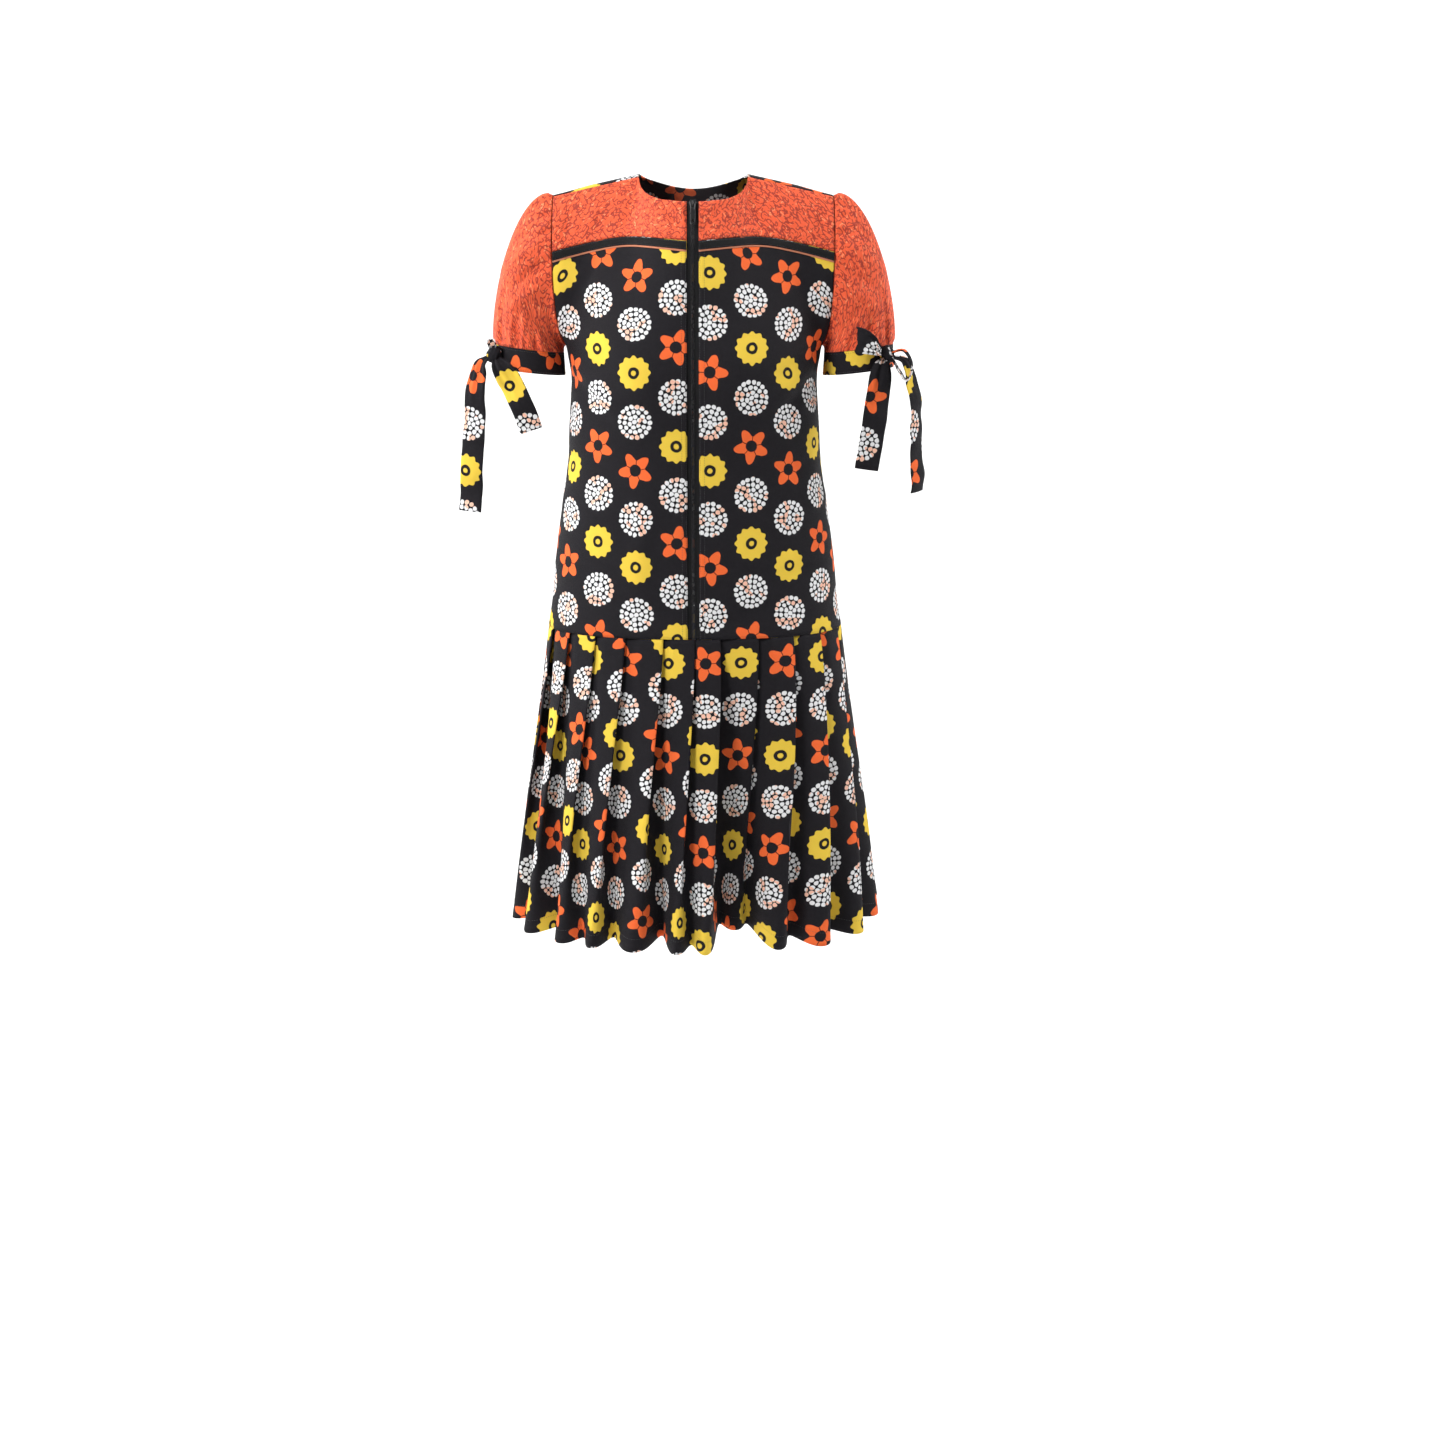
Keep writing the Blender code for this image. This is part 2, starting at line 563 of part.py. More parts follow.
def make_sleeves(orange, black):
    """A puffed sleeve and its cuff on each side."""
    grid = sleeve_grid()
    angle = np.linspace(0, 2 * math.pi, CUFF_COLUMNS, endpoint=False)
    shares = np.array([0.0, 0.5, 1.0])
    cuff = np.stack([cuff_ring(angle, share * CUFF_HEIGHT, share * CUFF_FLARE) for share in shares])
    for side, word in ((-1, "left"), (1, "right")):
        inside = (side * CUFF_CENTRE[0], 0.0, SLEEVE_MIDDLE[2])
        wall(f"sleeve_{word}", mirrored(grid, side), orange, closed=True, inside=inside)
        wall(f"cuff_{word}", mirrored(cuff, side), black, closed=True, inside=inside)


# The knots, on the cuffs. Columns: side, place round the cuff from its outer side in degrees, height.
KNOTS = {"left": (-1, 40, -0.2180), "right": (1, 52, -0.2180)}
KNOT_HALF = (0.0100, 0.0088, 0.0098)

# Each tie: its side, the way it leaves the knot, the way it comes back where it is a loop, and its
# rows. Columns of the rows: the place of its middle (x, y, z), its width and how far its face is turned
# away from the front, in degrees.
TIES = {
    "tie_front_left": (
        "left",
        (0.35, -0.75, -0.60),
        None,
        (
            (-0.2490, -0.0580, -0.2320, 0.022, 4),
            (-0.2400, -0.0600, -0.2450, 0.030, 6),
            (-0.2290, -0.0600, -0.2650, 0.031, 8),
            (-0.2190, -0.0590, -0.2880, 0.030, 2),
            (-0.2100, -0.0580, -0.3150, 0.030, -6),
        ),
    ),
    "tie_outer_left": (
        "left",
        (-0.90, -0.10, -0.45),
        None,
        (
            (-0.2735, -0.0460, -0.2290, 0.020, 40),
            (-0.2790, -0.0440, -0.2450, 0.026, 30),
            (-0.2830, -0.0400, -0.2700, 0.029, 24),
            (-0.2860, -0.0360, -0.3060, 0.030, 18),
            (-0.2910, -0.0310, -0.3560, 0.031, 16),
            (-0.2960, -0.0280, -0.4230, 0.031, 14),
        ),
    ),
    "tie_ear_left": (
        "left",
        (-0.15, -0.45, 0.90),
        None,
        (
            (-0.2590, -0.0530, -0.2045, 0.012, 12),
            (-0.2600, -0.0560, -0.1990, 0.012, 12),
        ),
    ),
    "tie_front_right": (
        "right",
        (-0.25, -0.70, -0.65),
        None,
        (
            (0.2420, -0.0660, -0.2330, 0.024, 12),
            (0.2395, -0.0680, -0.2450, 0.030, 14),
            (0.2370, -0.0670, -0.2720, 0.032, 16),
            (0.2315, -0.0640, -0.3120, 0.032, 10),
            (0.2240, -0.0610, -0.3650, 0.031, 2),
        ),
    ),
    "tie_outer_right": (
        "right",
        (0.85, 0.45, -0.40),
        None,
        (
            (0.2710, -0.0450, -0.2270, 0.016, 46),
            (0.2795, -0.0430, -0.2420, 0.023, 52),
            (0.2850, -0.0410, -0.2620, 0.028, 56),
            (0.2885, -0.0380, -0.2950, 0.030, 58),
            (0.2915, -0.0330, -0.3400, 0.031, 56),
            (0.2930, -0.0300, -0.3970, 0.031, 52),
        ),
    ),
    "loop_outer_right": (
        "right",
        (0.85, -0.40, 0.35),
        (0.75, -0.45, -0.50),
        (
            (0.2690, -0.0670, -0.2130, 0.014, 76),
            (0.2760, -0.0690, -0.2220, 0.018, 80),
            (0.2785, -0.0700, -0.2380, 0.020, 80),
            (0.2725, -0.0700, -0.2490, 0.020, 80),
            (0.2660, -0.0690, -0.2400, 0.018, 80),
        ),
    ),
}

# The front loop of the bow, which stands up on its edge. Columns as above, without a turn.
FRONT_LOOP_LEAVES, FRONT_LOOP_RETURNS = (-0.85, -0.50, 0.35), (-0.95, 0.05, 0.30)
FRONT_LOOP = (
    (0.2300, -0.0770, -0.2070, 0.022, 0),
    (0.2160, -0.0795, -0.2010, 0.030, 0),
    (0.2075, -0.0735, -0.1985, 0.032, 0),
    (0.2150, -0.0672, -0.2000, 0.030, 0),
    (0.2290, -0.0655, -0.2065, 0.022, 0),
)
LOOP_END_WIDTH = 0.010
TAIL_STEPS, LOOP_STEPS = 9, 15


def knot_centre(side, place, height):
    """The middle of a knot that lies on the cuff."""
    angle = math.radians(place)
    reach = math.hypot(KNOT_HALF[0] * math.cos(angle), KNOT_HALF[1] * math.sin(angle))
    away = CLEAR + WALL / 2 + reach
    point = cuff_ring(np.array([angle]), 0.0, away)[0]
    return np.array([side * point[0], point[1], height])


def knot_edge(centre, way):
    """The point just off the knot's surface, the given way from its middle."""
    way = direction(way)
    reach = 1 / np.linalg.norm(way / np.array(KNOT_HALF))
    return centre + way * (reach + 2 * CLEAR)


def tie_rows(centre, leaves, returns, rows):
    """The rows of a tie, with its ends at the knot."""
    ends = [way for way in (leaves, returns) if way is not None]
    points = [(*knot_edge(centre, way), LOOP_END_WIDTH, 0.0) for way in ends]
    points[0] = (*points[0][:4], rows[0][4])
    if returns is None:
        return np.array([points[0], *rows])
    points[1] = (*points[1][:4], rows[-1][4])
    return np.array([points[0], *rows, points[1]])


def make_ribbon(name, rows, finish, steps, upright=False):
    """A strap of cloth along a smooth line. Its width is level, or stands up where upright is true."""
    lengths = np.linalg.norm(np.diff(rows[:, :3], axis=0), axis=1)
    along = np.concatenate([[0.0], np.cumsum(lengths)])
    keyed = np.column_stack([along, rows])
    at = np.linspace(0, along[-1], steps)
    middle = np.stack([smooth(keyed, column, at) for column in (1, 2, 3)], axis=-1)
    width, turn = smooth(keyed, 4, at), np.radians(smooth(keyed, 5, at))
    run = direction(np.gradient(middle, axis=0))
    side = np.sign(rows[0, 0])
    across = np.stack([np.cos(turn), side * np.sin(turn), np.zeros_like(turn)], axis=-1)
    if upright:
        across = np.zeros_like(across) + np.array([0.0, 0.0, 1.0])
    across = direction(across - run * (across * run).sum(axis=-1, keepdims=True))
    shares = np.array([-0.5, 0.0, 0.5])[None, :, None]
    grid = middle[:, None] + across[:, None] * shares * width[:, None, None]
    normal = np.repeat(direction(np.cross(run, across))[:, None], 3, axis=1)
    grid[:, 1] += TIE_BOW * width[:, None] * normal[:, 1]
    return wall(name, grid, finish, TIE_WALL, normal=normal)


def make_knot(name, centre, finish):
    """A pinched lump of wound cloth: a ball whose girth swells and shrinks along its turns."""
    rings, spokes = KNOT_RINGS
    tilt = np.linspace(0, math.pi, rings)[1:-1, None]
    turn = np.linspace(0, 2 * math.pi, spokes, endpoint=False)[None, :]
    swell = 1 - KNOT_GROOVE * (1 - np.cos(KNOT_WINDS * tilt + turn)) * np.sin(tilt)
    ball = [np.sin(tilt) * np.cos(turn), np.sin(tilt) * np.sin(turn), np.cos(tilt) + 0 * turn]
    body = (np.stack(ball, axis=-1) * swell[..., None]).reshape(-1, 3)
    points = np.concatenate([body, [[0, 0, 1.0], [0, 0, -1.0]]]) * np.array(KNOT_HALF) + centre
    number = np.arange(len(body)).reshape(rings - 2, spokes)
    after = np.roll(number, -1, axis=1)
    sides = np.stack([number[:-1], number[1:], after[1:], after[:-1]], axis=-1).reshape(-1, 4)
    faces = sides.tolist()
    faces += [[len(body), a, b] for a, b in zip(number[0], after[0])]
    faces += [[len(body) + 1, b, a] for a, b in zip(number[-1], after[-1])]
    return shaded(name, points, turned_out(points, faces), finish)


def make_ties(black):
    """On each cuff a knot and its tails, and on the right one the two loops of the bow as well."""
    centres = {word: knot_centre(*row) for word, row in KNOTS.items()}
    for word, centre in centres.items():
        make_knot(f"knot_{word}", centre, black)
    for name, (word, leaves, returns, rows) in TIES.items():
        steps = TAIL_STEPS if returns is None else LOOP_STEPS
        make_ribbon(name, tie_rows(centres[word], leaves, returns, rows), black, steps)
    rows = tie_rows(centres["right"], FRONT_LOOP_LEAVES, FRONT_LOOP_RETURNS, FRONT_LOOP)
    make_ribbon("loop_front_right", rows, black, LOOP_STEPS, upright=True)


# Zip


def slot_edge():
    """The edge of the front and its yoke along the zip: its points, outward normals and run across."""
    panel, yoke = front_rows()
    grid = np.concatenate([panel[:-1], yoke])
    normal = outward(grid, False, (0.0, 0.0, -0.4))
    return grid[:, 0], normal[:, 0], grid[:, 1] - grid[:, 0]


def tape_grid(edge, normal, across, depth):
    """Columns from the centre line, past the slot's edge, to the outer edge, depth behind the panel."""
    inner = edge.copy()
    inner[:, 0] = TAPE_INNER
    run = across / across[:, :1]
    outer = edge + run * (TAPE_OUTER - ZIP_OPENING)
    return np.stack([inner, edge, outer], axis=1) - normal[:, None] * depth


def prism(name, flat, sweep, finish):
    """A closed solid between two copies of a flat outline, sweep to each side of it."""
    count = len(flat)
    points = np.concatenate([flat - sweep, flat + sweep])
    faces = [list(range(count)), list(range(2 * count - 1, count - 1, -1))]
    for k in range(count):
        after = (k + 1) % count
        faces.append([after, k, count + k, count + after])
    return shaded(name, points, turned_out(points, faces), finish)


def extruded(name, outline, half_width, frame, finish):
    """A prism across X. The outline's pairs are (out from the cloth, up along the zip)."""
    origin, run, out = frame
    flat = np.array([origin + out * a + run * b for a, b in outline])
    return prism(name, flat, np.array([half_width, 0.0, 0.0]), finish)


def combined(base, other, operation):
    """The base with the other solid joined to it (UNION) or cut from it (DIFFERENCE)."""
    boolean = base.modifiers.new(other.name, "BOOLEAN")
    boolean.operation = operation
    boolean.object = other
    other.hide_render = True
    other.display_type = "WIRE"


def make_zip(tape_black, coil_black, metal):
    """Two tapes behind the slot, the closed chain, and the slider with its hanging pull tab."""
    edge, normal, across = slot_edge()
    behind = WALL / 2 + CLEAR + TAPE_WALL / 2
    grid = tape_grid(edge, normal, across, behind)
    out = direction(normal * np.array([0.0, 1.0, 1.0]))
    facing = np.repeat(normal[:, None], grid.shape[1], axis=1)
    for side, word in ((-1, "left"), (1, "right")):
        tape, out_of_tape = mirrored(grid, side), mirrored(facing, side)
        wall(f"zip_tape_{word}", tape, tape_black, TAPE_WALL, normal=out_of_tape)
    on_tape = behind - TAPE_WALL / 2 - CLEAR - CHAIN_WALL / 2
    line = edge * np.array([0.0, 1.0, 1.0]) - out * on_tape
    chain = line[:, None] + np.array([[-CHAIN_HALF, 0, 0], [0, 0, 0], [CHAIN_HALF, 0, 0]])
    wall("zip_chain", chain[:-1], coil_black, CHAIN_WALL)

    top, face = edge[-1] * np.array([0.0, 1.0, 1.0]), out[-1]
    up = np.array([0.0, -face[2], face[1]])
    up = up if up[2] > 0 else -up
    frame = (top, up, face)
    front = CHAIN_WALL / 2 - on_tape + SLIDER_GAP
    back = -behind - TAPE_WALL / 2 - SLIDER_GAP
    foot = SLIDER_ABOVE - SLIDER_LENGTH
    body = extruded(
        "zip_slider",
        (
            (front + PLATE, SLIDER_ABOVE + PLATE),
            (back - PLATE, SLIDER_ABOVE + PLATE),
            (back - PLATE, foot),
            (back, foot),
            (back, SLIDER_ABOVE),
            (front, SLIDER_ABOVE),
            (front, foot),
            (front + PLATE, foot),
        ),
        SLIDER_HALF,
        frame,
        metal,
    )
    sunk, crown = front + PLATE - BRIDGE_SUNK, front + PLATE + BRIDGE_RISE
    low, high = SLIDER_ABOVE - BRIDGE_FOOT, SLIDER_ABOVE - BRIDGE_FOOT + BRIDGE_LENGTH
    bridge = extruded(
        "bridge_shape",
        (
            (sunk, low),
            (crown - BRIDGE_CORNER, low),
            (crown, low + BRIDGE_CORNER),
            (crown, high - BRIDGE_CORNER),
            (crown - BRIDGE_CORNER, high),
            (sunk, high),
            (sunk, high - BRIDGE_BAR),
            (crown - BRIDGE_BAR, high - BRIDGE_BAR),
            (crown - BRIDGE_BAR, low + BRIDGE_BAR),
            (sunk, low + BRIDGE_BAR),
        ),
        BRIDGE_HALF,
        frame,
        metal,
    )
    combined(body, bridge, "UNION")

    axis_out = crown - BRIDGE_BAR - CLEAR - TAB_THICK / 2
    pivot = top + face * axis_out + up * (low + high) / 2
    hang = up * math.cos(TAB_LEAN) + face * math.sin(TAB_LEAN)
    make_tab(pivot, hang, np.array([0.0, -hang[2], hang[1]]), metal)


def make_tab(pivot, up, face, metal):
    """A flat pull tab: a bar under the bridge, two arms round it, and a plate that hangs below."""
    half, arm = TAB_THICK / 2, EYE_HALF + EYE_RIM
    side = (
        (arm, half),
        (arm, -EYE_LENGTH),
        (TAB_HALF, -EYE_LENGTH - EYE_SHOULDER),
        (TAB_HALF, TAB_CORNER - TAB_LENGTH),
        (TAB_HALF - TAB_CORNER, -TAB_LENGTH),
    )
    outline = side + tuple((-a, b) for a, b in side[::-1])
    eye = ((-EYE_HALF, -half), (EYE_HALF, -half), (EYE_HALF, -EYE_LENGTH), (-EYE_HALF, -EYE_LENGTH))
    pieces = []
    for name, pairs, thick in (("zip_pull_tab", outline, half), ("eye_cutter", eye, 4 * half)):
        flat = np.array([np.array([a, 0.0, 0.0]) + up * b for a, b in pairs])
        piece = prism(name, flat, face * thick, metal)
        piece.location = pivot
        pieces.append(piece)
    combined(*pieces, "DIFFERENCE")


def main():
    for obj in list(bpy.data.objects):
        bpy.data.objects.remove(obj)
    black = material("printed_cotton_black", (0.025, 0.023, 0.030), 0.82)
    orange = material("printed_cotton_orange", (0.84, 0.15, 0.04), 0.80)
    trim_black = material("cotton_trim_black", (0.006, 0.006, 0.006), 0.85)
    tape_black = material("zip_tape_black", (0.008, 0.008, 0.008), 0.75)
    coil_black = material("nylon_coil_black", (0.012, 0.012, 0.012), 0.45)
    metal = material("lacquered_zinc_black", (0.010, 0.010, 0.010), 0.35, 0.6)
    make_bodice(black, orange, trim_black)
    make_skirt(black)
    make_sleeves(orange, black)
    make_ties(black)
    make_zip(tape_black, coil_black, metal)


main()
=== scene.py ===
"""Looks of a short-sleeved dress in printed cotton, with a zipped front and a knife-pleated skirt.

Metres, +Z up, and the dress faces -Y. Left and right are the viewer's: left is -X. Each piece of cloth
is a grid of points, worked out as whole arrays, with a thin wall round it. Its UV map "cloth" holds
each point's place on the flat cut in metres, so that folds and pleats carry the print with them.
"""

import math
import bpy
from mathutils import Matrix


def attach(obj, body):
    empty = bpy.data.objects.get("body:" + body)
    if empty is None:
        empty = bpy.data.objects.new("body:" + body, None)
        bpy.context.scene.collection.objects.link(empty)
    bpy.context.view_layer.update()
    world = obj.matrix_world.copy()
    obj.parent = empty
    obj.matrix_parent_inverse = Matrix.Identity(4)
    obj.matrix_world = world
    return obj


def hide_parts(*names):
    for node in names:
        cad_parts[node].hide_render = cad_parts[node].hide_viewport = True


bl_info = {
    "name": "Pleated dress",
    "version": (1, 0, 0),
    "blender": (4, 5, 0),
    "location": "3D View > Sidebar > Dress",
    "description": "Makes the cloth, zip and ties of a pleated dress round its packed frame",
    "category": "Object",
}

import bmesh
import bpy
import mathutils
import numpy as np

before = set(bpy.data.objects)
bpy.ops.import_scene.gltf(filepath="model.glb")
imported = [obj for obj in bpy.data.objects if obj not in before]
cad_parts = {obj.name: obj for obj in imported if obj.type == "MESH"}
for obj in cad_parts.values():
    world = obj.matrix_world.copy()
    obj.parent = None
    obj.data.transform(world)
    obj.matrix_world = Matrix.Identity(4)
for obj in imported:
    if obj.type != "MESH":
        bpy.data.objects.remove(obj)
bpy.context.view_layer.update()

# The cut, as in the solids
SEAM = 0.0004
SEAM_Z, UNDERARM_Z = -0.577, -0.208
ZIP_OPENING = 0.0076
SECTION_POWER = 2.0 / 2.3
NECK_SHARE, HOLE_START = 0.36, 0.70
PANEL_RISE = 0.20
BUST_X, BUST_Z, BUST_SPREAD, BUST_RISE = 0.083, -0.232, 0.046, 0.011
PLEATS, FOLD_DEPTH, LAYER, HEM_RISE = 24, 0.027, 0.0021, 0.20
SPREAD_CURVE, SWELL_CURVE = 1.45, 0.95
TUCK_REACH, TUCK_GROWTH = 0.012, 1.5

# Sections of the bodice from the seam up. Columns: height, half width, depth of front, depth of back.
BODICE_SECTIONS = (
    (-0.577, 0.1970, 0.125, 0.130),
    (-0.547, 0.1920, 0.123, 0.128),
    (-0.486, 0.1860, 0.121, 0.119),
    (-0.425, 0.1770, 0.118, 0.105),
    (-0.365, 0.1680, 0.117, 0.096),
    (-0.306, 0.1640, 0.120, 0.099),
    (-0.250, 0.1610, 0.121, 0.107),
    (-0.208, 0.1645, 0.115, 0.111),
)

# Sections of the skirt from the hem up, at the middle of its folds. Columns as above.
SKIRT_SECTIONS = (
    (-0.985, 0.2460, 0.170, 0.183),
    (-0.830, 0.2290, 0.157, 0.166),
    (-0.720, 0.2140, 0.145, 0.152),
    (-0.640, 0.2040, 0.134, 0.140),
    (-0.577, 0.1970, 0.125, 0.130),
)

# The pleats from centre back by the left side. Columns, in millimetres: shift of its start at the seam
# and at the hem, how far the trough at its start falls in at the hem, how far its crest stands out, and
# how much higher its start hangs there, as at the back.
PLEAT_FOLDS = (
    (0, 0, 16, 12, 7),
    (2, 5, 24, 15, 8),
    (-2, -4, 12, 17, 10),
    (1, 6, 28, 13, 13),
    (0, 2, 15, 16, 16),
    (-2, -5, 24, 14, 10),
    (0, 4, 20, 13, 0),
    (1, 8, 26, 15, 0),
    (0, 16, 30, 13, 0),
    (-1, 14, 15, 12, 0),
    (-3, -2, 26, 14, 0),
    (3, 12, 38, 17, 0),
    (0, -4, 14, 17, 0),
    (-11, -21, 68, -46, 0),
    (-5, -33, 66, 13, 0),
    (0, -34, 27, 17, 0),
    (0, -24, 24, 13, 0),
    (0, -12, 30, 12, 0),
    (1, -3, 14, 15, 10),
    (-2, 4, 26, 13, 16),
    (2, -3, 13, 16, 13),
    (0, 5, 25, 14, 10),
    (-1, -5, 18, 15, 8),
    (1, 2, 27, 13, 7),
)

# One pleat. Columns: share of the pitch, fold depths and layers in when pressed; share of the opened
# pitch and share of the way from trough to crest when open; columns of the grid up to the next row.
PLEAT_STATIONS = (
    (0.0, 0.0, -2.00, 0.04, 0.00, 6),
    (1.0, -1.06, -0.10, 0.22, 0.60, 8),
    (1.0, 0.0, 0.00, 0.40, 0.94, 2),
    (1.0, 0.05, -0.50, 0.52, 1.00, 2),
    (1.0, 0.0, -1.00, 0.64, 0.94, 6),
    (1.0, -1.0, -1.00, 0.79, 0.62, 4),
    (1.0, -1.04, -1.50, 0.88, 0.22, 2),
    (1.0, -1.0, -2.00, 0.95, 0.00, 4),
)
CREST_STATION, FACE_START, FACE_END = 3, 1, 2

FRONT_NECK = (0.0695, -0.074, -0.0285)
BACK_NECK_Y, BACK_NECK_Z, BACK_NECK_ROLL = 0.047, -0.009, 0.006
NECK_POINT, SHOULDER_TIP = (0.0695, -0.018, 0.0030), (0.1790, -0.021, -0.0215)
NECK_SQUARE, NECK_LOW, NECK_HIGH = 0.70, 0.85, 1.15
FRONT_LEAVES, FRONT_HOLE_LEAVES = (0.0, 0.014, 0.060), (0.0150, -0.056, 0.000)
FRONT_REACHES, FRONT_HOLE_REACHES = (0.0, 0.030, 0.052), (-0.003, 0.034, 0.066)
BACK_LEAVES, BACK_HOLE_LEAVES = (0.0, 0.010, 0.090), (0.0060, 0.082, 0.004)
BACK_REACHES, BACK_HOLE_REACHES = (0.0, -0.062, -0.030), (0.0, -0.062, -0.026)
BACK_NECK_REACHES = (0.0, -0.030, 0.050)

# The seam under the yoke. Columns: distance from the centre line, height.
YOKE_LINE = ((0.0, -0.0770), (0.045, -0.0727), (0.086, -0.0705), (0.130, -0.0775), (0.190, -0.0920))

CUFF_CENTRE = (0.2150, -0.006, -0.2120)
CUFF_HALF_X, CUFF_HALF_Y = 0.0445, 0.0500
CUFF_HEIGHT, CUFF_FLARE, CUFF_TILT = 0.029, 0.0015, 0.0055
HEAD_GAP, HEAD_LIFT, HEAD_REACH, UNDER_REACH = 0.0011, 0.15, 0.043, 0.006
UNDER_RISE, PUFF_LIFT, PUFF_OUT = 0.004, 0.092, 0.015
UNDER_LIFT, REACH_CURVE, PUFF_CURVE = 0.3, 0.8, 1.1
SLEEVE_MIDDLE, CUFF_MIDDLE_Z = (0.18, 0.0, -0.16), -0.225

# Gathers of the sleeve. Columns: folds round it, phase, height in millimetres, how far they run down from
# the head and where they start above the cuff, as shares of its length.
SLEEVE_GATHERS = (
    (12, 0.0, 1.7, 0.42, 0.52),
    (21, 1.1, 1.1, 0.28, 0.62),
    (37, 2.3, 0.6, 0.16, 0.74),
)
GATHER_START, GATHER_FULL, GATHER_END = 0.05, 0.97, 0.975

# Creases. Columns: start and end in (x, z), then width and height in millimetres, troughs below zero. The
# front's are on the right half, and the left mirrors them.
FRONT_CREASES = (
    (0.164, -0.205, 0.075, -0.262, 8.1, -3.1),
    (0.166, -0.238, 0.095, -0.312, 9, -2.9),
    (0.162, -0.222, 0.090, -0.288, 8.1, 2.1),
    (0.118, -0.092, 0.150, -0.150, 7.2, -2.3),
    (0.020, -0.560, 0.130, -0.525, 10.8, -2.1),
    (0.182, -0.480, 0.080, -0.512, 12.6, -2.6),
    (0.180, -0.400, 0.100, -0.428, 10.8, 2.1),
    (0.176, -0.345, 0.085, -0.372, 11.7, -2.3),
    (0.060, -0.380, 0.075, -0.540, 14.4, 2.0),
)
YOKE_CREASES = (
    (0.044, -0.026, 0.010, -0.066, 4.5, -2.8),
    (0.034, -0.024, 0.008, -0.048, 3.6, 1.8),
    (0.066, -0.020, 0.092, -0.066, 6.3, -2.2),
    (0.118, -0.026, 0.142, -0.074, 6.3, 1.8),
    (0.156, -0.034, 0.166, -0.084, 5.4, -2.1),
)
BACK_CREASES = (
    (-0.120, -0.380, 0.120, -0.395, 16, -1.6),
    (-0.130, -0.430, 0.060, -0.445, 14, 1.2),
    (0.020, -0.330, 0.150, -0.300, 14, -1.4),
    (-0.150, -0.300, -0.060, -0.340, 12, -1.2),
    (-0.060, -0.520, 0.140, -0.500, 14, -1.0),
)
SKIRT_FRONT_CREASES = (
    (-0.150, -0.780, -0.158, -0.940, 7, -1.6),
    (-0.020, -0.800, -0.016, -0.950, 7, -1.6),
    (0.120, -0.760, 0.135, -0.940, 8, -1.8),
)
SKIRT_BACK_CREASES = (
    (-0.110, -0.760, -0.118, -0.950, 8, -1.7),
    (0.060, -0.780, 0.066, -0.950, 8, -1.6),
    (0.170, -0.740, 0.180, -0.930, 8, -1.7),
)
SLEEVE_CREASES = (
    (0.184, -0.046, 0.228, -0.078, 5.4, -3.3),
    (0.186, -0.070, 0.244, -0.112, 7.2, 2.7),
    (0.184, -0.095, 0.238, -0.140, 6.3, -3.6),
    (0.190, -0.128, 0.244, -0.168, 6.3, 2.4),
    (0.186, -0.198, 0.222, -0.146, 5.4, -3.3),
    (0.214, -0.205, 0.240, -0.164, 4.5, -2.7),
    (0.196, -0.205, 0.204, -0.170, 3.6, 2.1),
)

# Zip
CHAIN_DEPTH = 0.0002  # how far the middle of the coil lies behind the middle of the panels
TAPE_INNER, TAPE_OUTER, TAPE_WALL, TAPE_DEPTH = 0.0010, 0.0128, 0.0008, 0.0014
TAPE_RIDGE, ZIP_ROWS = 0.0002, 180
TOOTH_PITCH, TOOTH_REACH, TOOTH_RISE = 0.0016, 0.0024, 0.0007
TAPE_COLUMNS, TAPE_CORD, TAPE_CORD_WIDTH = 13, 0.0016, 0.0006
TOOTH_STEPS, TOOTH_PAST, TOOTH_LEAN, TOOTH_HALF = 5, 0.2, 0.3, 0.26
TOOTH_ARC = (0.1, 0.95)  # the part of the half sine that a bight takes up
SLIDER_FRONT, SLIDER_LENGTH, SLIDER_ABOVE = 0.0009, 0.0115, 0.0012
SLIDER_HALF, SLIDER_CORNER, SLIDER_WAIST, SLIDER_ROUND = 0.0043, 4.5, 0.28, 0.0004
WAIST_PLACE, WAIST_SPREAD = 0.15, 0.35
TAB_LEAN = math.radians(3.5)
PIVOT = np.array([0.0, -0.07948, -0.03124])
PLATE_RINGS, OUTLINE_POINTS, SHARP_EDGE = 4, 40, math.radians(40)

# The slider's two plates. Columns: place of the middle out from the panel, thickness.
SLIDER_PLATES = ((SLIDER_FRONT + 0.0006, 0.0013), (-0.0027, 0.0011))

# Outlines on the zip. Columns: half width, top, foot, and the power of its corners.
POST, TAB_PLATE, TAB_HOLE = (
    (0.0016, -0.0002, -0.0024, 4.0),
    (0.0033, -0.0052, -0.0290, 3.6),
    (0.0017, -0.0215, -0.0262, 3.0),
)
POST_THICK, POST_ROUND, POST_BACK = 0.0040, 0.0003, 0.0016
TAB_THICK, TAB_ROUND, HOLE_ROUND = 0.0011, 0.0003, 0.0001

# The bridge that holds the tab: place below the slider's top, half length, foot, rise, curve of its arch,
# half width, thickness as a share of it, and squareness
BRIDGE_BELOW, BRIDGE_HALF, BRIDGE_FOOT, BRIDGE_RISE, BRIDGE_CURVE = 0.0056, 0.0030, 0.0010, 0.0030, 0.45
BRIDGE_WIDE, BRIDGE_FLAT, BRIDGE_SQUARE = 0.0009, 0.55, 0.6

# The tab's two arms and the pin that joins them at the pivot
ARM_TOP, ARM_FOOT, ARM_OUT, ARM_SPREAD = 0.0003, -0.0070, 0.0024, 0.0026
ARM_WIDE, ARM_THICK, ARM_SQUARE = 0.00052, 0.00050, 0.7
PIN_REACH, PIN_HALF = 0.0026, 0.0005
BAR_STEPS, BAR_SPOKES, BRIDGE_STEPS, BRIDGE_SPOKES = 13, 12, 25, 16

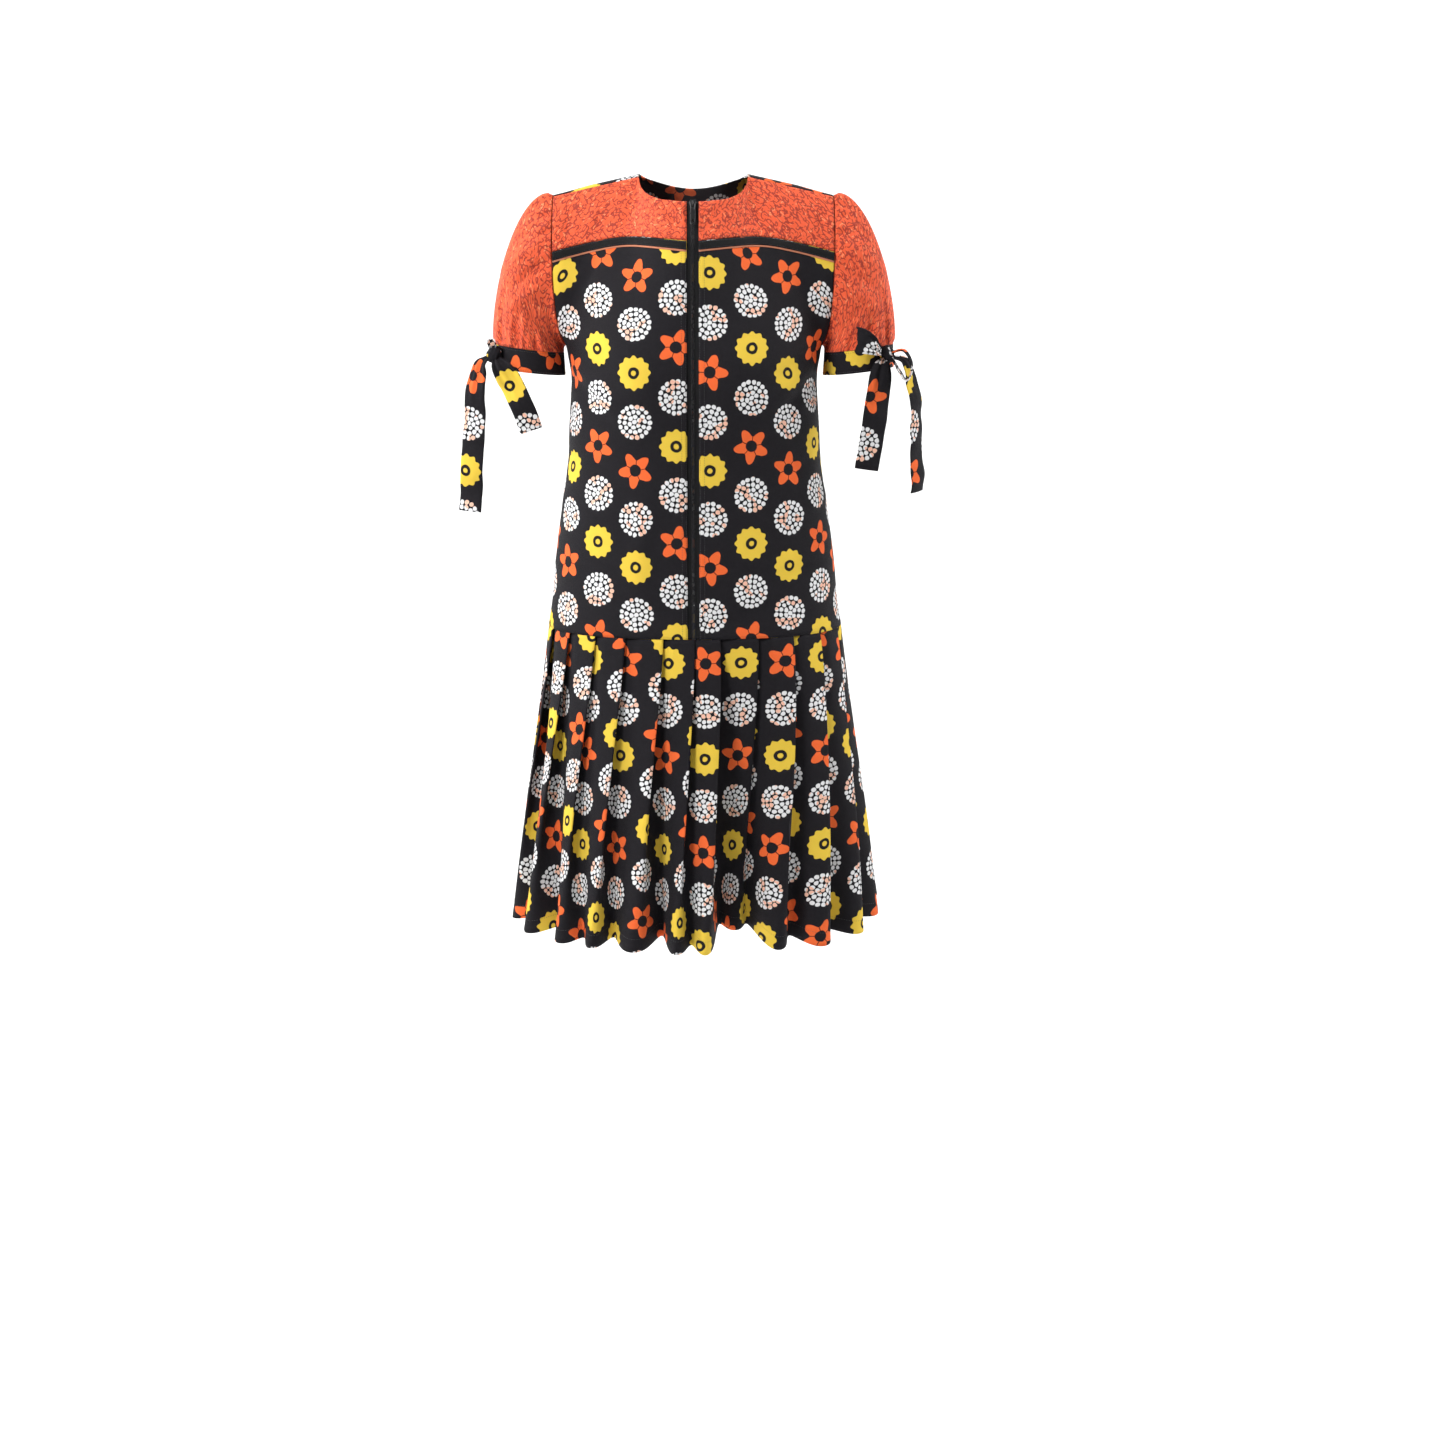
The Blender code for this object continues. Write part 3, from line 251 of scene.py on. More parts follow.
# Grids and cloth. A fine line is worked out first, and points are then spaced along it.
FINE_SECTION, FINE_RING, FINE_COLUMN, FINE_EDGE = 181, 1441, 401, 101
FRONT_COLUMNS, BACK_COLUMNS, LOWER_ROWS, UPPER_ROWS, YOKE_ROWS = 60, 64, 76, 26, 24
ROUGH_QUARTER, BACK_END = 0.25, 0.996
SKIRT_ROWS, FLUTE_ROUNDING, FLUTE_GROWTH = 84, 14, 1.5
UNDERARM_ROUNDING, UNDERARM_ROWS = 30, 6  # how often the rows there are averaged, and how many
NECK_ROUNDING, NECK_FADE = 40, 1.25  # how often the rows below the neck point are averaged
SLEEVE_COLUMNS, SLEEVE_ROWS, CUFF_ROWS = 192, 48, 13
CLOTH_THICK, TRIM_THICK, PIPING_THICK = 0.0008, 0.0009, 0.0004
CUT = "cloth"  # the UV map
BODY_MIDDLE, SKIRT_MIDDLE = (0.0, 0.0, -0.4), (0.0, 0.0, -0.7)
ACROSS = np.array([1.0, 0.0, 0.0])
ON_MIDDLE = np.array([0.0, 1.0, 1.0])  # a point times this lies on the middle line of the dress
PLEAT_CLOTH = 0.0985  # cloth in one pleat

# The turned hem: its depth, how far its stitching sinks in, and how wide that dent is
HEM_TURN, HEM_DENT, HEM_DENT_WIDTH = 0.018, 0.0005, 0.0022

# Stitches: share of the pitch that is thread, half width, height over half width, and lift off the cloth
STITCH_SHARE, STITCH_HALF, STITCH_FLAT, STITCH_LIFT = 0.62, 0.00028, 0.6, 0.0002
SEWN_LIFT, TRIM_SEWN, HEM_STITCH = 0.0006, 0.0012, 1.1  # off the cloth, in from the band's edges, pitch

# Stitching beside the zip. Columns: name, distance from the panel's edge.
ZIP_SEWN = (("edge", 0.0012), ("outer", 0.0068))
ZIP_SEWN_LIFT = 0.0007

# The band under the yoke
TRIM_TOP, TRIM_FOOT, TRIM_LIFT, TRIM_ARCH, TRIM_ROWS = 0.0008, 0.0112, 0.0013, 0.0004, 7

# The piping that peeps out under it. Columns, in millimetres: depth below its foot, and lift.
PIPING = ((2.4, 0.70), (1.2, 1.05), (0.1, 0.75), (-0.8, 0.65))

# Where each piece was cut from the print, in metres
FRONT_START = {"left": -0.013, "right": 0.013}
BACK_START, YOKE_START, SLEEVE_START = 0.045, 0.4, 0.37
CUFF_START = {"left": 0.02, "right": 0.11}
TIE_STARTS = {
    "knot_left": -0.007,
    "knot_right": -0.004,
    "tie_front_left": (0.03, 0.010),
    "tie_outer_left": (0.088, 0.030),
    "tie_ear_left": (0.02, 0.050),
    "tie_front_right": (0.145, 0.020),
    "tie_outer_right": (0.205, 0.040),
    "loop_outer_right": (0.03, 0.090),
    "loop_front_right": (0.09, 0.075),
}

# The print, in metres where it isn't a share or the number of waves in a metre
COLUMN_SHARE = 0.86  # width of a column of motifs, as a share of the repeat
PRINT_WOBBLE, PRINT_SOFT, WOBBLE_WAVES = 0.0022, 0.0004, 85.0
ROSETTE_RINGS, DOT_LEAST, DOT_SPREAD, DOT_WAVES = 3.5, 0.27, 0.34, 150.0
BLUSH_OVER, BLUSH_WAVES = 0.60, 75.0
FLOWER_RADIUS, PETAL_HEIGHT, PETALS, CLEFT = 0.0180, 0.0052, 5.0, 0.0012
DAISY_RADIUS, SCALLOP_HEIGHT, SCALLOPS = 0.0205, 0.0014, 12.0
HEART_RADIUS, SEED_RADIUS = 0.0075, 0.0034
FADED = 0.35  # how much of the reverse's colour is dulled

# Weaves: spacing of the threads, height, length of the slubs
COTTON_WEAVE, TAPE_WEAVE = (0.0011, 0.00012, 0.004), (0.0009, 0.00018, 0.003)
RIB_PITCH, RIB_HEIGHT, RIB_SLANT = 0.0008, 0.00012, math.radians(35)

# Curly strokes. Columns: waves in a metre, half width in the noise's values, shift, share kept, colour.
STROKES = (
    (125.0, 0.060, 3.1, 0.36, "orange_light"),
    (135.0, 0.075, 8.4, 0.58, "orange_dark"),
    (150.0, 0.065, 14.9, 0.54, "orange_dark"),
)
STROKE_BREAKS, BREAK_SOFT, CLOUD_WAVES = 1.15, 0.06, 60.0

# The photo's camera: it looks 13.6 degrees down, square on to the dress
CAMERA_PLACE, CAMERA_DOWN, CAMERA_LENS, SENSOR = (0.0372, -2.6, -0.0874), 13.62, 48.6, 36.0
FLOOR_Z, BACKDROP_Y, COVE = -1.5, 3.2, 1.5
FLOOR_FRONT, WALL_TOP, PAPER_HALF, COVE_STEPS = -7.0, 8.0, 9.0, 17
DRESS_MIDDLE, BACKDROP_MIDDLE = (0.0, 0.0, -0.5), (0.0, 2.2, -1.1)

# Lights. Columns: name, place, what it is aimed at, size, and which power it has.
LIGHTS = (
    ("light_key", (-1.3, -1.3, 0.9), DRESS_MIDDLE, 0.8, "key_light"),
    ("light_left", (-3.2, 0.4, 0.2), DRESS_MIDDLE, 1.6, "fill_light"),
    ("light_right", (3.1, -1.9, 0.9), DRESS_MIDDLE, 2.2, "fill_light"),
    ("light_paper_left", (-2.7, 0.3, 1.5), BACKDROP_MIDDLE, 1.8, "backdrop_light"),
    ("light_paper_right", (2.7, 0.3, 1.5), BACKDROP_MIDDLE, 1.8, "backdrop_light"),
)


# Arithmetic on whole arrays


def smooth(table, column, at):
    """Cubic Hermite curve through one column of a table whose first column rises."""
    rows = np.array(table, float)
    xs, ys = rows[:, 0], rows[:, column]
    slopes = np.gradient(ys, xs)
    at = np.clip(np.asarray(at, float), xs[0], xs[-1])
    i = np.clip(np.searchsorted(xs, at, side="right") - 1, 0, len(xs) - 2)
    step = xs[i + 1] - xs[i]
    t = (at - xs[i]) / step
    start = ys[i] * (1 + 2 * t) + slopes[i] * step * t
    end = ys[i + 1] * (3 - 2 * t) - slopes[i + 1] * step * (1 - t)
    return start * (1 - t) ** 2 + end * t**2


def mix(a, b, share):
    """A straight blend from a (share 0) to b (share 1)."""
    return np.asarray(a) + (np.asarray(b) - np.asarray(a)) * share


def ease(x):
    """The smooth step 3x^2 - 2x^3, held at 0 and 1 outside."""
    x = np.clip(x, 0.0, 1.0)
    return x * x * (3 - 2 * x)


def direction(vectors):
    """The vectors at unit length."""
    vectors = np.asarray(vectors, float)
    return vectors / np.linalg.norm(vectors, axis=-1, keepdims=True)


def travelled(grid, axis):
    """The distance covered along one axis of a grid of points, from its first row or column."""
    steps = np.linalg.norm(np.diff(grid, axis=axis), axis=-1)
    start = np.zeros_like(np.take(steps, [0], axis=axis))
    return np.concatenate([start, np.cumsum(steps, axis=axis)], axis=axis)


def read(values, along, wanted):
    """A line's values at the wanted distances along it."""
    return np.stack([np.interp(wanted, along, column) for column in values.T], axis=-1)


def spaced(points, shares):
    """Points at the given shares of a line's length."""
    along = travelled(points, 0)
    return read(points, along, np.asarray(shares, float) * along[-1])


def bezier(p0, p1, p2, p3, t):
    """Cubic Bezier curves, one for each column of control points, at each share in t."""
    t = np.asarray(t, float)
    t = t[..., None] if t.ndim == 2 else t[:, None, None]
    u = 1 - t
    return p0 * u**3 + 3 * p1 * u**2 * t + 3 * p2 * u * t**2 + p3 * t**3


def relaxed(grid, times, strength=0.5, closed=False, axis=0):
    """Moves each point towards the middle of its two neighbours along one axis, again and again.

    The ends stay where they are unless the axis is closed. The strength may differ from point to point.
    """
    for _ in range(times):
        middle = (np.roll(grid, 1, axis=axis) + np.roll(grid, -1, axis=axis)) / 2
        if not closed:
            ends = [slice(None)] * grid.ndim
            ends[axis] = [0, -1]
            middle[tuple(ends)] = grid[tuple(ends)]
        grid = grid + (middle - grid) * strength
    return grid


def outward(grid, inside, closed=False):
    """Unit normals: the cross product of the grid's two directions, on the side away from inside."""
    if closed:
        across = np.roll(grid, -1, axis=1) - np.roll(grid, 1, axis=1)
    else:
        across = np.gradient(grid, axis=1)
    normal = direction(np.cross(across, np.gradient(grid, axis=0)))
    return normal if (normal * (grid - np.array(inside))).sum() > 0 else -normal


def mirrored(grid, side):
    """The same points on the left (-1) or right (1) half of the dress."""
    return grid * np.array([side, 1.0, 1.0])


def creased(grid, normal, table):
    """Presses creases into a grid along its normals.

    Each crease is a segment in x and z: a Gaussian across it, which fades to its two ends as a sine.
    """
    rows = np.array(table, float)
    start, run = rows[:, 0:2], rows[:, 2:4] - rows[:, 0:2]
    offset = grid[None][..., [0, 2]] - start[:, None, None]
    length = (run**2).sum(axis=1)[:, None, None]
    share = (offset * run[:, None, None]).sum(axis=-1) / length
    held = np.clip(share, 0, 1)
    away = np.linalg.norm(offset - held[..., None] * run[:, None, None], axis=-1)
    width, height = (rows[:, k, None, None] / 1000 for k in (4, 5))
    fade = np.sin(np.pi * np.clip(held, 0.04, 0.96)) ** 0.7
    lift = (height * fade * np.exp(-((away / width) ** 2))).sum(axis=0)
    return grid + normal * lift[..., None]


# Surfaces of the cut


def section(sections, z, angle):
    """A superellipse: half the width across, the front's or back's depth along, from centre front."""
    half, front, back = (smooth(sections, column, z) for column in (1, 2, 3))
    across, along = np.sin(angle), np.cos(angle)
    x = half * np.sign(across) * np.abs(across) ** SECTION_POWER
    deep = np.where(along > 0, -front, back)
    return np.stack([x, deep * np.abs(along) ** SECTION_POWER, np.full_like(x, z)], axis=-1)


def bust(points):
    """Two Gaussian mounds push the front out over the cups."""
    away = (np.abs(points[..., 0]) - BUST_X) ** 2 + (points[..., 2] - BUST_Z) ** 2
    out = points.copy()
    out[..., 1] -= BUST_RISE * np.exp(-away / (2 * BUST_SPREAD**2))
    return out


def front_quarter(z, shares):
    """Points of the section at height z from the zip slot to the side seam."""
    line = section(BODICE_SECTIONS, z, np.linspace(0, math.pi / 2, FINE_SECTION))
    start = np.interp(ZIP_OPENING, line[:, 0], np.arange(len(line)))
    first = np.array([[ZIP_OPENING, np.interp(ZIP_OPENING, line[:, 0], line[:, 1]), z]])
    return spaced(np.concatenate([first, line[math.ceil(start) :]]), shares)


def back_quarter(z, shares):
    """Points of the section at height z from centre back to the side seam."""
    angle = np.linspace(math.pi, math.pi / 2, FINE_SECTION)
    return spaced(section(BODICE_SECTIONS, z, angle), shares)


def top_edge(shares, neckline):
    """The upper edge of a panel: a neckline up to NECK_SHARE, and then the straight shoulder seam."""
    at_neck = np.clip(shares / NECK_SHARE, 0, 1)
    past = np.clip((shares - NECK_SHARE) / (1 - NECK_SHARE), 0, 1)
    on_shoulder = mix(NECK_POINT, SHOULDER_TIP, past[:, None])
    return np.where((shares <= NECK_SHARE)[:, None], neckline(at_neck), on_shoulder)


def front_neckline(share):
    """Sine and cosine of one angle, raised to powers: nearly level at the zip, then a steep climb."""
    half, depth, drop = FRONT_NECK
    start = math.acos((ZIP_OPENING / half) ** (1 / NECK_SQUARE))
    angle = start * (1 - share)
    fall = np.sin(angle) / math.sin(start)
    y = mix(NECK_POINT[1], depth, fall**NECK_HIGH)
    z = mix(NECK_POINT[2], drop, fall**NECK_LOW)
    return np.stack([half * np.cos(angle) ** NECK_SQUARE, y, z], axis=-1)


def back_neckline(share):
    """A quarter of an ellipse from centre back to the neck point, with a soft rise on its way."""
    angle = share * math.pi / 2
    y = mix(NECK_POINT[1], BACK_NECK_Y, np.cos(angle))
    z = mix(NECK_POINT[2], BACK_NECK_Z, np.cos(angle))
    z += BACK_NECK_ROLL * np.sin(2 * angle) * np.sin(angle)
    return np.stack([NECK_POINT[0] * np.sin(angle), y, z], axis=-1)


def near_hole(shares):
    """From 0 over the chest or back to 1 at the armhole, for each column."""
    return ease((shares - HOLE_START) / (1 - HOLE_START))[:, None]


def front_top(shares, heights):
    """Bezier columns of the front from the underarm level (0) to the top edge (1)."""
    low, high, hole = front_quarter(UNDERARM_Z, shares), top_edge(shares, front_neckline), near_hole(shares)
    leave = mix(FRONT_LEAVES, FRONT_HOLE_LEAVES, hole)
    reach = mix(FRONT_REACHES, FRONT_HOLE_REACHES, hole)
    return bezier(low, low + leave, high - reach, high, heights)


def back_top(shares, heights):
    """Bezier columns of the back, which rolls over the shoulder to the seam in front of it."""
    low, high, hole = back_quarter(UNDERARM_Z, shares), top_edge(shares, back_neckline), near_hole(shares)
    leave = mix(BACK_LEAVES, BACK_HOLE_LEAVES, hole)
    past_neck = ease(shares / NECK_SHARE)[:, None]
    reach = mix(BACK_NECK_REACHES, mix(BACK_REACHES, BACK_HOLE_REACHES, hole), past_neck)
    return bezier(low, low + leave, high - reach, high, heights)


def yoke_height(shares):
    """The share of the height at which each column of the front crosses the yoke seam."""
    fine = np.linspace(0, 1, FINE_COLUMN)
    grid = front_top(shares, fine)
    above = grid[:, :, 2] - smooth(YOKE_LINE, 1, grid[:, :, 0])
    return np.array([np.interp(0.0, above[:, k], fine) for k in range(len(shares))])


def armhole(count):
    """The armhole's edge as count points: from the shoulder tip by the front to the underarm and back."""
    fine, edge = np.linspace(0, 1, FINE_EDGE), np.array([1.0])
    front, back = front_top(edge, fine)[::-1, 0], back_top(edge, fine)[:, 0]
    shares = np.linspace(0, 1, count // 2 + 1)
    return np.concatenate([spaced(bust(front), shares)[:-1], spaced(back, shares)[:-1]])


def cuff_ring(angle, drop, grow):
    """A tilted ellipse: the cuff, drop below its top, with its half widths grown by grow."""
    x, y, z = CUFF_CENTRE
    across = x + (CUFF_HALF_X + grow) * np.cos(angle)
    along = y - (CUFF_HALF_Y + grow) * np.sin(angle)
    return np.stack([across, along, z + CUFF_TILT * np.cos(angle) - drop + 0 * angle], axis=-1)


# Grids of the pieces: each gives its points and their places on the flat cut


def front_grids():
    """The right front panel and its yoke: arc length off the zip edge and up from the seam is the cut.

    Their rows are averaged with their neighbours below the neck point, so no ridge runs down from it.
    """
    shares = np.linspace(0, 1 - SEAM / ROUGH_QUARTER, FRONT_COLUMNS)
    below = np.stack([front_quarter(z, shares) for z in np.linspace(SEAM_Z, UNDERARM_Z, LOWER_ROWS)])
    seam_share = yoke_height(shares)
    top = seam_share - SEAM / PANEL_RISE
    rise = top * np.linspace(0, 1, UPPER_ROWS)[1:, None]
    panel = np.concatenate([below, front_top(shares, rise)])
    above = ease((np.arange(len(panel)) - LOWER_ROWS) / UPPER_ROWS)[:, None, None]
    panel = relaxed(underarm_eased(panel), NECK_ROUNDING, above / 2, axis=1)
    rise = mix(seam_share, 1.0, np.linspace(0, 1, YOKE_ROWS)[:, None])
    below = ease(np.linspace(NECK_FADE, 0, YOKE_ROWS))[:, None, None]
    yoke = relaxed(front_top(shares, rise), NECK_ROUNDING, below / 2, axis=1)
    return bust(panel), bust(yoke)


def underarm_eased(grid):
    """Rounds the slight corner where the columns leave the sections, a Gaussian of rows about it."""
    row = np.arange(len(grid)) - (LOWER_ROWS - 1)
    strength = np.exp(-((row / UNDERARM_ROWS) ** 2))[:, None, None] / 2
    return relaxed(grid, UNDERARM_ROUNDING, strength)


def back_grid():
    """The whole back, from one side seam to the other."""
    shares = np.linspace(0, 1 - SEAM / ROUGH_QUARTER, BACK_COLUMNS)
    below = np.stack([back_quarter(z, shares) for z in np.linspace(SEAM_Z, UNDERARM_Z, LOWER_ROWS)])
    heights = np.linspace(0, BACK_END, UPPER_ROWS + YOKE_ROWS)[1:]
    half = underarm_eased(np.concatenate([below, back_top(shares, heights)]))
    return np.concatenate([mirrored(half[:, :0:-1], -1), half], axis=1)


def flat_cut(grid, start=0.0, foot=0.0, side=1):
    """Each point's place on the cut: arc length along its row, and up its column."""
    return np.stack([side * travelled(grid, 1) + start, travelled(grid, 0) + foot], axis=-1)


def pleat_column(column, ends):
    """A column of the table of folds in metres, with its first row again at the end if ends is 1."""
    return np.array([row[column] for row in PLEAT_FOLDS + PLEAT_FOLDS[:ends]])[:, None] / 1000


def skirt_ring(z):
    """A section of the skirt from centre back to centre back by the left side: points, arc, outward."""
    line = section(SKIRT_SECTIONS, z, np.linspace(-math.pi, math.pi, FINE_RING))
    along = travelled(line, 0)
    slopes = np.gradient(line[:, :2], along, axis=0)
    out = direction(np.stack([-slopes[:, 1], slopes[:, 0]], axis=-1))
    return line, along, out * np.sign((out * line[:, :2]).sum(axis=1, keepdims=True))


def tucked(where, depth, layers, swollen):
    """The depths, with the part of each pleat that is folded back kept under the face above it."""
    start, end = where[:, FACE_START, None], where[:, FACE_END, None]
    low, high = depth[:, FACE_START, None], depth[:, FACE_END, None]
    face = low + (high - low) * np.clip((where - start) / (end - start), 0, 1)
    cover = np.clip(1 - (where - end) / TUCK_REACH, 0, 1) * (1 + TUCK_GROWTH * swollen)
    behind = np.arange(where.shape[1]) > CREST_STATION
    return np.where(behind, np.minimum(depth, face + layers * cover), depth)


def skirt_row(share):
    """One ring of points at this share of the way down, and each point's share of its pleat's cloth.

    Every pleat is a line of stations, in arc round the body and depth out of it: pressed flat at the
    seam, fanned into a flute at the hem, and blended between the two by powers of the share.
    """
    z = mix(SEAM_Z - SEAM, SKIRT_SECTIONS[0][0], share)
    line, along, out = skirt_ring(z)
    pitch = along[-1] / PLEATS
    opened, swollen = share**SPREAD_CURVE, share**SWELL_CURVE
    of_pitch, folds, layers, open_share, to_crest, columns = np.array(PLEAT_STATIONS).T
    even = np.arange(PLEATS + 1)[:, None] * pitch
    folded, fanned = even + pleat_column(0, 1), even + pleat_column(1, 1)
    trough, crest = pleat_column(2, 1), pleat_column(3, 0)
    pressed = mix(folded[:-1], folded[1:], of_pitch) + folds * FOLD_DEPTH
    hanging = mix(fanned[:-1], fanned[1:], open_share)
    nearest = np.where(np.arange(len(folds)) <= CREST_STATION, trough[:-1], trough[1:])
    where = mix(pressed, hanging, opened)
    depth = mix(layers * LAYER, mix(-nearest, crest, to_crest), swollen)
    depth = tucked(where, depth, layers * LAYER, swollen)

    stations = np.concatenate([[0], np.cumsum(columns)])
    count = int(stations[-1])
    where_next, depth_next = (np.roll(values[:, :1], -1, axis=0) for values in (where, depth))
    where_next[-1] += along[-1]
    ring = np.stack([np.hstack([where, where_next]), np.hstack([depth, depth_next])])
    steps = np.hypot(*np.diff(ring, axis=2))
    cloth = np.concatenate([np.zeros((PLEATS, 1)), np.cumsum(steps, axis=1)], axis=1)
    cloth /= cloth[:, -1:]
    fine = np.arange(count)
    low = np.clip(np.searchsorted(stations, fine, side="right") - 1, 0, len(columns) - 1)
    part = (fine - stations[low]) / columns[low]
    at = mix(ring[0][:, low], ring[0][:, low + 1], part).ravel() % along[-1]
    deep = mix(ring[1][:, low], ring[1][:, low + 1], part).ravel()
    of_cloth = mix(cloth[:, low], cloth[:, low + 1], part).ravel()
    rise = np.interp(at, fanned[:, 0], pleat_column(4, 1)[:, 0])
    spot = read(line, along, at)
    spot[:, :2] += read(out, along, at) * deep[:, None]
    spot[:, 2] += rise * share**2 - HEM_RISE * share * deep
    return spot, of_cloth


def skirt_grid():
    """The whole skirt as rings from the seam to the hem, with its folds rounder the lower they are."""
    shares = np.linspace(0, 1, SKIRT_ROWS)
    rows = [skirt_row(share) for share in shares]
    grid = np.stack([points for points, of_cloth in rows])
    of_cloth = np.stack([of_cloth for points, of_cloth in rows])
    pleat = np.arange(grid.shape[1]) // (grid.shape[1] // PLEATS)
    strength = ease(shares * FLUTE_GROWTH)[:, None, None] / 2
    grid = relaxed(grid, FLUTE_ROUNDING, strength, closed=True, axis=1)
    cut = np.stack([(pleat + of_cloth) * PLEAT_CLOTH, -travelled(grid, 0)], axis=-1)
    return grid, cut


def sleeve_grid():
    """Each column is a Bezier curve from the armhole to the cuff, puffed out most over the shoulder.

    The gathers are cosines of the angle that fade away from the head and from the cuff.
    """
    angle = np.linspace(0, 2 * math.pi, SLEEVE_COLUMNS, endpoint=False)
    hole = armhole(SLEEVE_COLUMNS)
    top = ((1 + np.cos(angle)) / 2)[:, None]
    away = np.stack([np.zeros_like(angle), -np.sin(angle), np.cos(angle)], axis=-1)
    leave_way = direction(ACROSS + HEAD_LIFT * away * mix(UNDER_LIFT, 1.0, top))
    round_cuff = np.stack([np.cos(angle), -np.sin(angle), np.zeros_like(angle)], axis=-1)
    reach_way = direction(np.array([0, 0, 1.0]) + PUFF_OUT * round_cuff)
    start = hole + leave_way * HEAD_GAP
    end = cuff_ring(angle, 0.0, 0.0) + np.array([0, 0, SEAM])
    leave = leave_way * mix(UNDER_REACH, HEAD_REACH, top**REACH_CURVE)
    reach = reach_way * mix(UNDER_RISE, PUFF_LIFT, top**PUFF_CURVE)
    share = np.linspace(0, 1, SLEEVE_ROWS)[:, None]
    grid = bezier(start, start + leave, end + reach, end, share[:, 0])
    round_top = ease(top[:, 0] * 3)
    lift = np.zeros((SLEEVE_ROWS, SLEEVE_COLUMNS))
    for folds, phase, height, head_end, cuff_start in SLEEVE_GATHERS:
        near_cuff = ease((share - cuff_start) / (GATHER_FULL - cuff_start))
        near_cuff = near_cuff * (1 - ease((share - GATHER_END) / (1 - GATHER_END)))
        near_head = ease(share / GATHER_START) * (1 - ease((share - GATHER_START) / head_end)) * top[:, 0]
        lift += height / 1000 * np.cos(folds * angle + phase) * (near_cuff * round_top + near_head)
    return grid + outward(grid, SLEEVE_MIDDLE, closed=True) * lift[..., None]


def cuff_grid():
    """The cuff: tilted ellipses that grow a little on the way down."""
    angle = np.linspace(0, 2 * math.pi, SLEEVE_COLUMNS, endpoint=False)
    shares = np.linspace(0, 1, CUFF_ROWS)
    return np.stack([cuff_ring(angle, share * CUFF_HEIGHT, share * CUFF_FLARE) for share in shares])


def round_cut(grid, start):
    """A closed piece's cut: its mean girth by the angle, with the first column again, and down."""
    wrapped = np.concatenate([grid, grid[:, :1]], axis=1)
    around = travelled(wrapped, 1).mean(axis=0) + start
    return np.stack([np.broadcast_to(around, wrapped.shape[:2]), -travelled(wrapped, 0)], axis=-1)


# Meshes


def cells(rows, columns, closed=False):
    """The corner numbers of each cell. A closed grid's last cells end on its first column."""
    number = np.arange(rows * columns).reshape(rows, columns)
    if closed:
        number = np.concatenate([number, number[:, :1]], axis=1)
    quads = (number[:-1, :-1], number[:-1, 1:], number[1:, 1:], number[1:, :-1])
    return np.stack(quads, axis=-1).reshape(-1, 4)


def placed(name, points, faces, finishes, body="root"):
    """A smooth mesh at the origin, with its finishes, that rides on a body."""
    mesh = bpy.data.meshes.new(name)
    mesh.from_pydata(np.reshape(points, (-1, 3)).tolist(), [], [tuple(face) for face in faces])
    mesh.shade_smooth()
    for finish in finishes:
        mesh.materials.append(finish)
    piece = bpy.data.objects.new(name, mesh)
    bpy.context.scene.collection.objects.link(piece)
    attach(piece, body)
    return piece


def cloth(name, grid, cut, finishes, closed=False, inside=BODY_MIDDLE, thick=CLOTH_THICK):
    """A wall of cloth, half its thickness to each side of a grid, with its cut as a UV map.

    The first finish is its face, on the side away from the point inside, and the second its reverse.
    """
    rows, columns = grid.shape[:2]
    faces, flat = cells(rows, columns, closed), cells(rows, cut.shape[1])
    corner = grid.reshape(-1, 3)[faces]
    turn = np.cross(corner[:, 2] - corner[:, 0], corner[:, 3] - corner[:, 1])
    if (turn * (corner.mean(axis=1) - np.array(inside))).sum() < 0:
        faces, flat = faces[:, ::-1], flat[:, ::-1]
    piece = placed(name, grid, faces, finishes)
    layer = piece.data.uv_layers.new(name=CUT)
    layer.data.foreach_set("uv", cut.reshape(-1, 2)[flat.ravel()].ravel())
    solid = piece.modifiers.new("wall", "SOLIDIFY")
    solid.thickness, solid.offset = thick, 0.0
    solid.material_offset = len(finishes) - 1
    return piece


def tube(points, aside, up, spokes, square=1.0):
    """Rings round a path: a cosine of the first half axis and a sine of the second, at each point."""
    turn = np.linspace(0, 2 * math.pi, spokes, endpoint=False)
    round_it = (np.abs(np.cos(turn)) ** square * np.sign(np.cos(turn)))[None, :, None]
    aside, up = (np.broadcast_to(half, points.shape)[:, None] for half in (aside, up))
    return points[:, None] + aside * round_it + up * np.sin(turn)[None, :, None]


def capped(grid):
    """The points and faces of a closed-sided tube, with a point in the middle of each end."""
    rows, columns = grid.shape[:2]
    number = np.arange(rows * columns).reshape(rows, columns)
    sides = cells(rows, columns, closed=True)
    first, last = rows * columns, rows * columns + 1
    points = np.concatenate([grid.reshape(-1, 3), grid[:1].mean(axis=1), grid[-1:].mean(axis=1)])
    start, end = np.roll(number[0], -1), np.roll(number[-1], -1)
    first_end = np.stack([np.full(columns, first), start, number[0]], axis=1)
    last_end = np.stack([np.full(columns, last), number[-1], end], axis=1)
    return points, sides.tolist() + first_end.tolist() + last_end.tolist()


